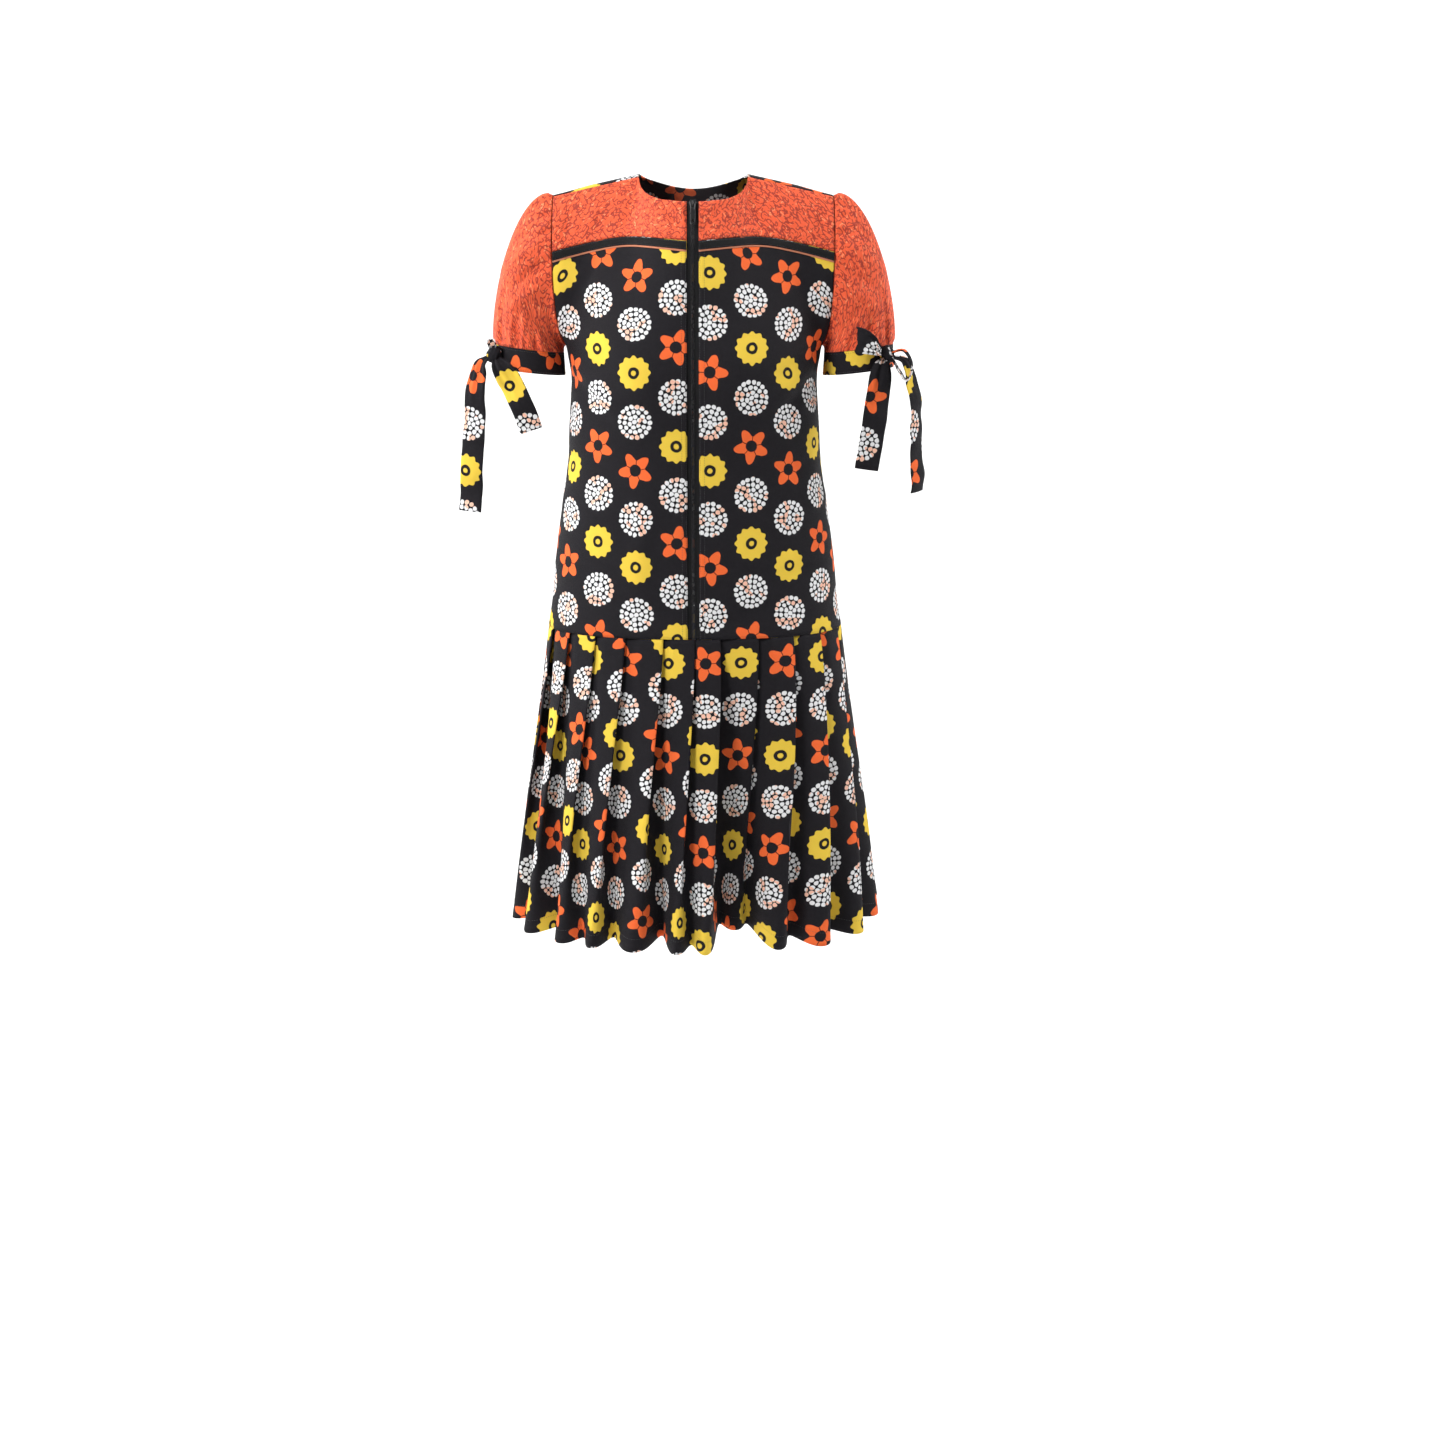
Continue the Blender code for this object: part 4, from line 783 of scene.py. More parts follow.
def stitches(name, line, normal, pitch, finish):
    """A row of stitches along a line: each is a spindle of two four-sided cones, all in one mesh."""
    along = travelled(line, 0)
    count = max(int(along[-1] / pitch), 2)
    middle = (np.arange(count) + 0.5) * along[-1] / count
    reach = pitch * STITCH_SHARE / 2
    out = direction(read(normal, along, middle))
    spot = read(line, along, middle) + out * STITCH_LIFT
    run = direction(read(line, along, middle + reach) - read(line, along, middle - reach))
    aside, rise = np.cross(run, out) * STITCH_HALF, out * STITCH_HALF * STITCH_FLAT
    ring = [spot + step for step in (aside, rise, -aside, -rise)]
    shape = np.stack([spot - run * reach, spot + run * reach, *ring], axis=1)
    corner = np.array(
        [[0, 3, 2], [0, 4, 3], [0, 5, 4], [0, 2, 5], [1, 2, 3], [1, 3, 4], [1, 4, 5], [1, 5, 2]]
    )
    faces = (np.arange(count)[:, None, None] * 6 + corner[None]).reshape(-1, 3)
    return placed(name, shape, faces, [finish])


# Ties. Each knot: side, place round the cuff from its outer side in degrees, height.
KNOTS = {"left": (-1, 40, -0.2180), "right": (1, 52, -0.2180)}
KNOT_HALF = (0.0100, 0.0088, 0.0098)
CLEAR, SOLID_WALL = 0.0003, 0.0012
KNOT_RINGS, KNOT_SPOKES, KNOT_WINDS, KNOT_GROOVE, KNOT_SEAT = 30, 48, 6, 0.10, 0.92
GROOVE_POWER, KNOT_RIPPLES, RIPPLE_LEAN, RIPPLE_HEIGHT = 0.6, 5, 4, 0.02

# The strap over a knot: its lean in degrees, half width, girth, crown, puckers and their height, widening
BAND_LEAN, BAND_HALF, BAND_GIRTH, BAND_CROWN = 24.0, 0.0062, 1.03, 0.10
BAND_PUCKERS, BAND_PUCKER, BAND_WIDENS, BAND_COLUMNS, BAND_THICK = 7, 0.018, 0.15, 11, 0.0012

# Each tie: its knot, the way it leaves it, the way it comes back where it is a loop, and its rows. Columns
# of the rows: place of its middle (x, y, z), width, and turn of its face from the front in degrees.
TIES = {
    "tie_front_left": (
        "left",
        (0.35, -0.75, -0.60),
        None,
        (
            (-0.2490, -0.0580, -0.2320, 0.022, 4),
            (-0.2400, -0.0600, -0.2450, 0.030, 6),
            (-0.2290, -0.0600, -0.2650, 0.031, 8),
            (-0.2190, -0.0590, -0.2880, 0.030, 2),
            (-0.2100, -0.0580, -0.3150, 0.030, -6),
        ),
    ),
    "tie_outer_left": (
        "left",
        (-0.90, -0.10, -0.45),
        None,
        (
            (-0.2735, -0.0460, -0.2290, 0.020, 40),
            (-0.2790, -0.0440, -0.2450, 0.026, 30),
            (-0.2830, -0.0400, -0.2700, 0.029, 24),
            (-0.2860, -0.0360, -0.3060, 0.030, 18),
            (-0.2910, -0.0310, -0.3560, 0.031, 16),
            (-0.2960, -0.0280, -0.4230, 0.031, 14),
        ),
    ),
    "tie_ear_left": (
        "left",
        (-0.15, -0.45, 0.90),
        None,
        (
            (-0.2590, -0.0530, -0.2045, 0.012, 12),
            (-0.2600, -0.0560, -0.1990, 0.012, 12),
        ),
    ),
    "tie_front_right": (
        "right",
        (-0.25, -0.70, -0.65),
        None,
        (
            (0.2420, -0.0660, -0.2330, 0.024, 12),
            (0.2395, -0.0680, -0.2450, 0.030, 14),
            (0.2370, -0.0670, -0.2720, 0.032, 16),
            (0.2315, -0.0640, -0.3120, 0.032, 10),
            (0.2240, -0.0610, -0.3650, 0.031, 2),
        ),
    ),
    "tie_outer_right": (
        "right",
        (0.85, 0.45, -0.40),
        None,
        (
            (0.2710, -0.0450, -0.2270, 0.016, 46),
            (0.2795, -0.0430, -0.2420, 0.023, 52),
            (0.2850, -0.0410, -0.2620, 0.028, 56),
            (0.2885, -0.0380, -0.2950, 0.030, 58),
            (0.2915, -0.0330, -0.3400, 0.031, 56),
            (0.2930, -0.0300, -0.3970, 0.031, 52),
        ),
    ),
    "loop_outer_right": (
        "right",
        (0.85, -0.40, 0.35),
        (0.75, -0.45, -0.50),
        (
            (0.2690, -0.0670, -0.2130, 0.014, 76),
            (0.2760, -0.0690, -0.2220, 0.018, 80),
            (0.2785, -0.0700, -0.2380, 0.020, 80),
            (0.2725, -0.0700, -0.2490, 0.020, 80),
            (0.2660, -0.0690, -0.2400, 0.018, 80),
        ),
    ),
    "loop_front_right": (
        "right",
        (-0.85, -0.50, 0.35),
        (-0.95, 0.05, 0.30),
        (
            (0.2300, -0.0770, -0.2070, 0.022, 0),
            (0.2160, -0.0795, -0.2010, 0.030, 0),
            (0.2075, -0.0735, -0.1985, 0.032, 0),
            (0.2150, -0.0672, -0.2000, 0.030, 0),
            (0.2290, -0.0655, -0.2065, 0.022, 0),
        ),
    ),
}
STANDING_LOOP = "loop_front_right"  # the one tie whose width stands up
TIE_BOW, LOOP_END_WIDTH, TIE_THICK = 0.05, 0.010, 0.0011
TIE_STEP, TIE_COLUMNS, TIE_PHASE, TIE_AREA = 0.0016, 13, 1.3, 0.95

# Gathers where a tie leaves its knot. Columns: folds across, phase, height as a share of the width.
TIE_GATHERS = ((2.0, 0.4, 0.070), (3.5, 1.9, 0.045))
GATHER_REACH = 0.042

# Soft waves of a hanging tail. Columns: length, phase, height in millimetres, lean of its fold across.
TIE_WAVES = ((0.052, 0.3, 0.9, 0.35), (0.031, 1.7, 0.5, -0.55), (0.085, 2.6, 1.2, 0.15))


def knot_centre(side, place, height):
    """The middle of a knot that lies on the cuff."""
    angle = math.radians(place)
    reach = math.hypot(KNOT_HALF[0] * math.cos(angle), KNOT_HALF[1] * math.sin(angle))
    point = cuff_ring(np.array([angle]), 0.0, CLEAR + SOLID_WALL / 2 + reach)[0]
    return np.array([side * point[0], point[1], height])


def knot_edge(centre, way):
    """The point just inside the knot's surface, the given way from its middle."""
    way = direction(way)
    return centre + way * KNOT_SEAT / np.linalg.norm(way / np.array(KNOT_HALF))


def tie_rows(centre, leaves, returns, rows):
    """The rows of a tie, with its ends at the knot."""
    ends = [(way, row[4]) for way, row in ((leaves, rows[0]), (returns, rows[-1])) if way is not None]
    points = [(*knot_edge(centre, way), LOOP_END_WIDTH, turn) for way, turn in ends]
    return np.array([points[0], *rows, *points[1:]])


def tie_grid(rows, upright, seed):
    """A strap along a smooth line, gathered at its knot: its section is a bow plus fading cosines."""
    keyed = np.column_stack([travelled(rows[:, :3], 0), rows])
    length = keyed[-1, 0]
    at = np.linspace(0, length, int(length / TIE_STEP) + 2)
    middle = np.stack([smooth(keyed, column, at) for column in (1, 2, 3)], axis=-1)
    width, turn = smooth(keyed, 4, at)[:, None], np.radians(smooth(keyed, 5, at))
    run = direction(np.gradient(middle, axis=0))
    side = np.sign(rows[0, 0])
    across = np.stack([np.cos(turn), side * np.sin(turn), np.zeros_like(turn)], axis=-1)
    if upright:
        across = np.array([0.0, 0.0, 1.0])
    across = direction(across - run * (across * run).sum(axis=-1, keepdims=True))
    normal = direction(np.cross(run, across))
    shares = np.linspace(-0.5, 0.5, TIE_COLUMNS)[None]
    looped = np.linalg.norm(rows[0, :3] - rows[-1, :3]) < length / 4
    to_knot = np.minimum(at, length - at) if looped else at
    fade = np.exp(-((to_knot / GATHER_REACH) ** 2))[:, None]
    bow = TIE_BOW * (1 - (2 * shares) ** 2)
    for folds, phase, height in TIE_GATHERS:
        bow = bow + height * fade * np.cos(2 * math.pi * folds * shares + phase + seed)
    lift = bow * width
    if not looped:
        for wave, phase, height, lean in TIE_WAVES:
            hang = ease(at / GATHER_REACH)[:, None] * height / 1000
            place = (at[:, None] + lean * shares * width) / wave
            lift = lift + hang * np.sin(2 * math.pi * place + phase + seed)
    grid = middle[:, None] + across[:, None] * (shares * width)[..., None]
    cut = np.stack(np.broadcast_arrays(shares * width.max(), -at[:, None]), axis=-1)
    return grid + normal[:, None] * lift[..., None], cut


def knot_ball(centre):
    """Wound cloth: an ellipsoid whose girth swells along a helix of turns, by a power of cosines."""
    tilt = np.linspace(0, math.pi, KNOT_RINGS)[1:-1, None]
    turn = np.linspace(0, 2 * math.pi, KNOT_SPOKES, endpoint=False)[None, :]
    fold = np.abs(np.cos((KNOT_WINDS * tilt + turn) / 2)) ** GROOVE_POWER
    ripple = RIPPLE_HEIGHT * np.cos(KNOT_RIPPLES * turn - RIPPLE_LEAN * tilt)
    swell = 1 - (KNOT_GROOVE * (1 - fold) + ripple) * np.sin(tilt)
    ball = [np.sin(tilt) * np.cos(turn), np.sin(tilt) * np.sin(turn), np.cos(tilt) + 0 * turn]
    return np.stack(ball, axis=-1) * swell[..., None] * np.array(KNOT_HALF) + centre


def knot_band(centre, side):
    """The strap that is wound over the knot: an arched section carried round a tilted ellipse."""
    turn = np.linspace(0, 2 * math.pi, KNOT_SPOKES, endpoint=False)[:, None]
    shares = np.linspace(-1, 1, BAND_COLUMNS)[None, :]
    lean = math.radians(side * BAND_LEAN)
    axis = np.array([math.cos(lean), 0.0, math.sin(lean)])
    rise = np.array([-math.sin(lean), 0.0, math.cos(lean)]) * KNOT_HALF[2]
    ahead = np.array([0.0, KNOT_HALF[1], 0.0])
    puckers = BAND_PUCKER * np.cos(BAND_PUCKERS * shares + 2 * turn)
    swell = BAND_GIRTH + BAND_CROWN * (1 - shares**2) + puckers
    girth = ahead * np.cos(turn)[..., None] + rise * np.sin(turn)[..., None]
    along = axis * (shares * BAND_HALF * (1 + BAND_WIDENS * np.cos(turn)))[..., None]
    return centre + girth * swell[..., None] + along


# Zip


def zip_edge(panel, yoke):
    """The zip's edge of the right front: its points, normals, and unit steps away from the zip."""
    grid = np.concatenate([panel[:-1], yoke])
    along = travelled(grid[:, 0], 0)
    wanted = np.linspace(0, along[-1], ZIP_ROWS)
    normal, step = outward(grid, BODY_MIDDLE)[:, 0], direction(grid[:, 1] - grid[:, 0])
    edge, normal, step = (read(values, along, wanted) for values in (grid[:, 0], normal, step))
    return edge, direction(normal), direction(step)


def tape_grid(edge, normal, step):
    """The tape from the coil to its outer edge, behind the panel, with a woven cord raised along it."""
    across = np.linspace(TAPE_INNER, TAPE_OUTER, TAPE_COLUMNS)
    away = across - ZIP_OPENING
    grid = edge[:, None] + (step / step[:, :1])[:, None] * away[None, :, None]
    ridge = TAPE_RIDGE * np.exp(-(((across - TAPE_OUTER + TAPE_CORD) / TAPE_CORD_WIDTH) ** 2))
    return grid + normal[:, None] * (ridge - TAPE_DEPTH)[None, :, None]


def coil_teeth(line, out, side):
    """The bights of a nylon coil: each is a bent bar, from its tape over the middle, all in one mesh.

    Each bar's section is a diamond, carried along a half sine that rises off the tape and bends down.
    """
    along = travelled(line, 0)
    count = int(along[-1] / TOOTH_PITCH)
    middle = (np.arange(count) + (1 + side) / 4) * TOOTH_PITCH
    spot, up = read(line, along, middle), direction(read(out, along, middle))
    quarter = TOOTH_PITCH / 4
    run = direction(read(line, along, middle + quarter) - read(line, along, middle - quarter))
    steps = np.linspace(0, 1, TOOTH_STEPS)[None, :, None]
    path = spot[:, None] + ACROSS * side * mix(TOOTH_REACH, -TOOTH_REACH * TOOTH_PAST, steps)
    path = path + up[:, None] * (TOOTH_RISE * np.sin(math.pi * mix(*TOOTH_ARC, steps)))
    path = path + run[:, None] * (TOOTH_PITCH * TOOTH_LEAN * (steps - 0.5))
    turn = np.arange(4) * math.pi / 2
    section_up = up[:, None, None] * np.sin(turn)[None, None, :, None]
    section_run = run[:, None, None] * np.cos(turn)[None, None, :, None]
    points = path[:, :, None] + (section_up + section_run) * TOOTH_PITCH * TOOTH_HALF
    corners = TOOTH_STEPS * 4
    ends = np.array([[3, 2, 1, 0], np.arange(corners - 4, corners)])
    shape = np.concatenate([cells(TOOTH_STEPS, 4, closed=True), ends])
    shape = shape if side > 0 else shape[:, ::-1]
    faces = np.arange(count)[:, None, None] * corners + shape[None]
    return points.reshape(-1, 3), faces.reshape(-1, 4)


def zip_frame(edge, normal):
    """Where the closed zip ends at the neck: the point on its middle line, the way up it and out of it."""
    face = direction(normal[-1] * ON_MIDDLE)
    return edge[-1] * ON_MIDDLE, np.array([0.0, face[2], -face[1]]), face


def pillow(outline, thick, edge_round):
    """A flat plate with rounded rims: its outline is shrunk by a quarter circle towards each face.

    The outline's pairs are across and up. Gives rings of (across, up, out), from back to front.
    """
    bend = np.linspace(0, math.pi / 2, PLATE_RINGS)
    inset = edge_round * np.concatenate([1 - np.sin(bend), (1 - np.sin(bend))[::-1]])
    level = (thick / 2 - edge_round) + edge_round * np.cos(bend)
    level = np.concatenate([-level, level[::-1]])
    ahead = np.roll(outline, -1, axis=0) - np.roll(outline, 1, axis=0)
    inward = direction(np.stack([-ahead[:, 1], ahead[:, 0]], axis=-1))
    inward *= np.sign(-(inward * (outline - outline.mean(axis=0))).sum())
    flat = outline[None] + inward[None] * inset[:, None, None]
    return np.concatenate([flat, np.broadcast_to(level[:, None, None], (*flat.shape[:2], 1))], axis=-1)


def stood(rings, origin, up, out):
    """Plate rings put on a frame: across is X, up and out are the frame's."""
    return origin + ACROSS * rings[..., :1] + up * rings[..., 1:2] + out * rings[..., 2:]


def rounded_outline(half, top, foot, corner, waist=0.0):
    """A closed outline with rounded corners: a superellipse of the corner's power, pinched at the waist."""
    turn = np.linspace(0, 2 * math.pi, OUTLINE_POINTS, endpoint=False)
    x, y = (np.sign(part) * np.abs(part) ** (2.0 / corner) for part in (np.cos(turn), np.sin(turn)))
    up = (y + 1) / 2
    squeeze = 1 - waist * np.exp(-(((up - WAIST_PLACE) / WAIST_SPREAD) ** 2))
    return np.stack([half * x * squeeze, mix(foot, top, up)], axis=-1)


def holed(outline, hole, origin, up, out):
    """A plate with a hole: rings from the hole's rim, over the front, round the edge to the back."""
    inner, outer = pillow(hole, TAB_THICK, HOLE_ROUND), pillow(outline, TAB_THICK, TAB_ROUND)
    inner[..., :2] = hole[None]
    grid = np.concatenate([inner[:1], outer, inner[-1:], inner[:1]])
    return stood(grid, origin, up, out).reshape(-1, 3), cells(*grid.shape[:2], closed=True).tolist()


def joined(name, parts, metal, body):
    """One mesh of several closed parts, with its doubles merged and its faces turned out."""
    points, faces, start = [], [], 0
    for made, corners in parts:
        points.append(made)
        faces += [[k + start for k in face] for face in corners]
        start += len(made)
    piece = placed(name, np.concatenate(points), faces, [metal], body)
    work = bmesh.new()
    work.from_mesh(piece.data)
    bmesh.ops.remove_doubles(work, verts=work.verts, dist=0.000001)
    bmesh.ops.recalc_face_normals(work, faces=work.faces)
    work.to_mesh(piece.data)
    work.free()
    piece.data.set_sharp_from_angle(angle=SHARP_EDGE)
    return piece


# Materials

NOISE, VECTOR, MIX = "ShaderNodeTexNoise", "ShaderNodeVectorMath", "ShaderNodeMix"
SPLIT, JOIN, BUMP = "ShaderNodeSeparateXYZ", "ShaderNodeCombineXYZ", "ShaderNodeBump"


def linear(colour):
    """An sRGB hex value such as "#E3E3E4", or a colour of three numbers, as linear RGBA."""
    if isinstance(colour, str):
        colour = [int(colour[k : k + 2], 16) / 255 for k in (1, 3, 5)]
    return (*(c / 12.92 if c <= 0.04045 else ((c + 0.055) / 1.055) ** 2.4 for c in tuple(colour)[:3]), 1.0)


def add(tree, kind, *inputs, out=0, **settings):
    """Adds a node. Each input is a socket to link, a value to set, or None to leave as it is.

    A kind that doesn't name a node, such as "MULTIPLY", is an operation of the Math node.
    """
    if not kind.startswith("ShaderNode"):
        kind, settings["operation"] = "ShaderNodeMath", kind
    node = tree.nodes.new(kind)
    for key, value in settings.items():
        setattr(node, key, value)
    for socket, given in zip(node.inputs, inputs):
        if isinstance(given, bpy.types.NodeSocket):
            tree.links.new(given, socket)
        elif given is not None:
            socket.default_value = given
    return node.outputs[out]


def finish(name, **sockets):
    """A material and its shader, with fixed values on the shader's own sockets."""
    made = bpy.data.materials.new(name)
    made.use_nodes = True
    shader = made.node_tree.nodes["Principled BSDF"]
    for socket, value in sockets.items():
        shader.inputs[socket.replace("_", " ")].default_value = value
    return made, made.node_tree, shader


def weave(tree, where, shader, pitch, height, slub):
    """Joins a plain weave and its slubs to the shader's normal: sines of warp and weft, and noise."""
    spread = add(tree, VECTOR, where, None, None, 2 * math.pi / pitch, operation="SCALE")
    warp = add(tree, SPLIT, spread)
    threads = add(tree, "MULTIPLY", add(tree, "SINE", warp), add(tree, "SINE", warp.node.outputs[1]))
    lumps = add(tree, NOISE, where, None, 1 / slub, 3.0, 0.6)
    total = add(tree, "MULTIPLY_ADD", lumps, 1.6, threads)
    tree.links.new(add(tree, BUMP, 1.0, height, None, total), shader.inputs["Normal"])
    return lumps


def painted(tree, shader, ground, layers):
    """Joins the ground colour, with each (mask, colour) laid over it in turn, to the shader."""
    ground = linear(ground)
    for mask, colour in layers:
        layer = (mask, None, None, None, None, None, ground, linear(colour))
        ground = add(tree, MIX, *layer, out=2, data_type="RGBA")
    tree.links.new(ground, shader.inputs["Base Color"])


def edge_of(tree, value, limit, soft=PRINT_SOFT):
    """A mask that is 1 where the value lies under the limit, over a soft edge."""
    return add(tree, "MULTIPLY_ADD", add(tree, "SUBTRACT", limit, value), 1 / soft, 0.5, use_clamp=True)


def print_cells(tree, where, tall, wide):
    """The print's cells: each point's column and row, and its place from the middle of its cell.

    Each second column is dropped by half a repeat, and a noise pulls the edges of the motifs about.
    """
    wobble = add(tree, NOISE, where, None, WOBBLE_WAVES, 2.0, 0.6, out=1)
    pulled = add(tree, VECTOR, wobble, (0.5, 0.5, 0.5), operation="SUBTRACT")
    pulled = add(tree, VECTOR, pulled, (PRINT_WOBBLE,) * 3, where, operation="MULTIPLY_ADD")
    x = add(tree, SPLIT, pulled)
    along = add(tree, "DIVIDE", x, wide)
    column = add(tree, "FLOOR", along)
    odd = add(tree, "FRACT", add(tree, "MULTIPLY", column, 0.5))
    down = add(tree, "ADD", add(tree, "DIVIDE", x.node.outputs[1], tall), odd)
    row = add(tree, "FLOOR", down)
    places = []
    for place, whole, size in ((along, column, wide), (down, row, tall)):
        from_middle = add(tree, "ADD", add(tree, "SUBTRACT", place, whole), -0.5)
        places.append(add(tree, "MULTIPLY", from_middle, size))
    return column, row, *places


def rosette_dots(tree, where, radius, angle, chance, spacing):
    """Rings of dots about a middle one, where ring k has 6k dots: a mask of them all."""
    ring = add(tree, "ROUND", add(tree, "DIVIDE", radius, spacing))
    turn = add(tree, "MULTIPLY", add(tree, "MULTIPLY", angle, 6 / math.tau), add(tree, "MAXIMUM", ring, 1.0))
    turn = add(tree, "ADD", turn, add(tree, "MULTIPLY", chance, ring))
    beside = add(tree, "ADD", add(tree, "FRACT", turn), -0.5)
    beside = add(tree, "MULTIPLY", beside, spacing * math.tau / 6)
    across = add(tree, "SUBTRACT", add(tree, "MULTIPLY", ring, spacing), radius)
    from_dot = add(tree, VECTOR, add(tree, JOIN, beside, across, 0.0), operation="LENGTH", out=1)
    from_dot = add(tree, MIX, add(tree, "LESS_THAN", ring, 0.5), None, from_dot, radius)
    sizes = add(tree, NOISE, where, None, DOT_WAVES, 1.0)
    size = add(tree, "MULTIPLY_ADD", sizes, spacing * DOT_SPREAD, spacing * DOT_LEAST)
    within = add(tree, "LESS_THAN", radius, spacing * ROSETTE_RINGS)
    return add(tree, "MULTIPLY", edge_of(tree, from_dot, size), within)


def wax_print(tree, where, dress):
    """The motifs of the print, as masks and colours to lay over its ground.

    Down a column, every second motif is a rosette. Between them come, by turns, a flower and a daisy,
    whose edges are cosines of the angle.
    """
    column, row, in_x, in_y = print_cells(tree, where, dress.repeat, dress.repeat * COLUMN_SHARE)
    chance = add(tree, "ShaderNodeTexWhiteNoise", add(tree, JOIN, column, row, 0.0), noise_dimensions="2D")
    radius = add(tree, VECTOR, add(tree, JOIN, in_x, in_y, 0.0), operation="LENGTH", out=1)
    angle = add(tree, "ARCTAN2", in_y, in_x)
    order = add(tree, "FRACT", add(tree, "MULTIPLY", add(tree, "ADD", column, row), 0.25))
    rosette = add(tree, "LESS_THAN", add(tree, "FRACT", add(tree, "MULTIPLY", order, 2.0)), 0.25)
    bloom = add(tree, "SUBTRACT", 1.0, rosette)
    yellow = add(tree, "MULTIPLY", bloom, add(tree, "GREATER_THAN", order, 0.5))
    orange = add(tree, "SUBTRACT", bloom, yellow)

    dots = rosette_dots(tree, where, radius, angle, chance, dress.dots)
    dots = add(tree, "MULTIPLY", dots, rosette)
    which = add(tree, "GREATER_THAN", add(tree, NOISE, where, None, BLUSH_WAVES, 0.0), BLUSH_OVER)
    petals = add(tree, "ADD", add(tree, "MULTIPLY", angle, PETALS), add(tree, "MULTIPLY", chance, math.tau))
    reach = add(tree, "MULTIPLY_ADD", add(tree, "COSINE", petals), PETAL_HEIGHT, FLOWER_RADIUS)
    flower = add(tree, "MULTIPLY", edge_of(tree, radius, reach), orange)
    spokes = add(tree, "ABSOLUTE", add(tree, "COSINE", add(tree, "MULTIPLY", petals, 0.5)))
    cleft = edge_of(tree, add(tree, "MULTIPLY", spokes, radius), CLEFT)
    many = add(tree, "COSINE", add(tree, "MULTIPLY", angle, SCALLOPS))
    scallop = add(tree, "MULTIPLY_ADD", many, SCALLOP_HEIGHT, DAISY_RADIUS)
    return (
        (dots, dress.white),
        (add(tree, "MULTIPLY", dots, which), dress.peach),
        (flower, dress.orange_motif),
        (add(tree, "MULTIPLY", cleft, flower), dress.ground),
        (add(tree, "MULTIPLY", edge_of(tree, radius, scallop), yellow), dress.yellow),
        (add(tree, "MULTIPLY", edge_of(tree, radius, HEART_RADIUS), bloom), dress.ground),
        (add(tree, "MULTIPLY", edge_of(tree, radius, SEED_RADIUS), yellow), dress.yellow),
    )


def printed_cotton(name, dress, faded=0.0):
    """Wax-printed cotton poplin: a close weave, calendered, so it has a faint sheen over a deep ground.

    Its threads are 0.3 mm apart. They are drawn 1.1 mm apart, because the real ones are under a pixel.
    """
    sockets = {"Roughness": 0.78, "Sheen_Weight": 0.02, "Sheen_Roughness": 0.4, "Specular_IOR_Level": 0.13}
    made, tree, shader = finish(name, **sockets)
    where = add(tree, "ShaderNodeUVMap", uv_map=CUT)
    worn = add(tree, "MULTIPLY", weave(tree, where, shader, *COTTON_WEAVE), 0.02)
    layers = (*wax_print(tree, where, dress), (worn, "#8A8890"), (faded, "#4A4549"))
    painted(tree, shader, dress.ground, layers)
    return made


def strokes(tree, where, waves, width, shift, share):
    """Short curly strokes: a thin band about the middle value of a noise, broken up by another noise."""
    moved = add(tree, VECTOR, where, (shift, shift * 1.7, 0.0), operation="ADD")
    field = add(tree, NOISE, moved, None, waves, 0.0, noise_dimensions="2D")
    band = edge_of(tree, add(tree, "ABSOLUTE", add(tree, "ADD", field, -0.5)), width, width)
    breaks = add(tree, NOISE, moved, None, waves * STROKE_BREAKS, 0.0, out=1, noise_dimensions="2D")
    broken = add(tree, "SUBTRACT", 1.0, add(tree, SPLIT, breaks))
    return add(tree, "MULTIPLY", band, edge_of(tree, broken, share, BREAK_SOFT))


def stroked_cotton(name, dress, faded=0.0):
    """The same cotton in orange, printed all over with short curly strokes, dark with lighter ones beside.

    Its strokes are 1.3 mm wide and 3 to 8 mm long, as noises of 7 to 8 mm waves give them.
    """
    sockets = {"Roughness": 0.78, "Sheen_Weight": 0.05, "Sheen_Roughness": 0.4, "Specular_IOR_Level": 0.25}
    made, tree, shader = finish(name, **sockets)
    where = add(tree, "ShaderNodeUVMap", uv_map=CUT)
    lumps = weave(tree, where, shader, *COTTON_WEAVE)
    cloud = add(tree, "MULTIPLY", add(tree, NOISE, where, None, CLOUD_WAVES, 2.0), 0.30)
    drawn = [(strokes(tree, where, *row), getattr(dress, colour)) for *row, colour in STROKES]
    worn = add(tree, "MULTIPLY", lumps, 0.08)
    layers = ((cloud, dress.orange_deep), *drawn, (worn, "#FFD8C4"), (faded, "#B0512F"))
    painted(tree, shader, dress.orange, layers)
    return made


def plain_cotton(name, colour):
    """Plain dyed cotton tape, folded and stitched down: matt, with a visible weave drawn at 0.9 mm."""
    sockets = {"Roughness": 0.85, "Sheen_Weight": 0.05, "Sheen_Roughness": 0.5, "Specular_IOR_Level": 0.2}
    made, tree, shader = finish(name, **sockets)
    lumps = weave(tree, add(tree, "ShaderNodeUVMap", uv_map=CUT), shader, *TAPE_WEAVE)
    painted(tree, shader, colour, ((add(tree, "MULTIPLY", lumps, 0.10), "#4C4A50"),))
    return made


def woven_tape(name, colour):
    """Woven polyester zip tape: a twill whose ribs run along it, a little shiny. Ribs 0.8 mm apart."""
    made, tree, shader = finish(name, Roughness=0.7, Sheen_Weight=0.02, Specular_IOR_Level=0.2)
    where = add(tree, "ShaderNodeUVMap", uv_map=CUT)
    slanted = add(tree, "ShaderNodeMapping", where, None, (0.0, 0.0, RIB_SLANT))
    spread = add(tree, VECTOR, slanted, None, None, 2 * math.pi / RIB_PITCH, operation="SCALE")
    ribs = add(tree, "SINE", add(tree, SPLIT, spread))
    tree.links.new(add(tree, BUMP, 1.0, RIB_HEIGHT, None, ribs), shader.inputs["Normal"])
    # The colour follows the same sine as the bump: a painted highlight along the tops of the ribs and painted
    # shade in the grooves between them.
    painted(tree, shader, colour, ((add(tree, "MULTIPLY_ADD", ribs, 0.05, 0.05), "#55535A"),))
    return made


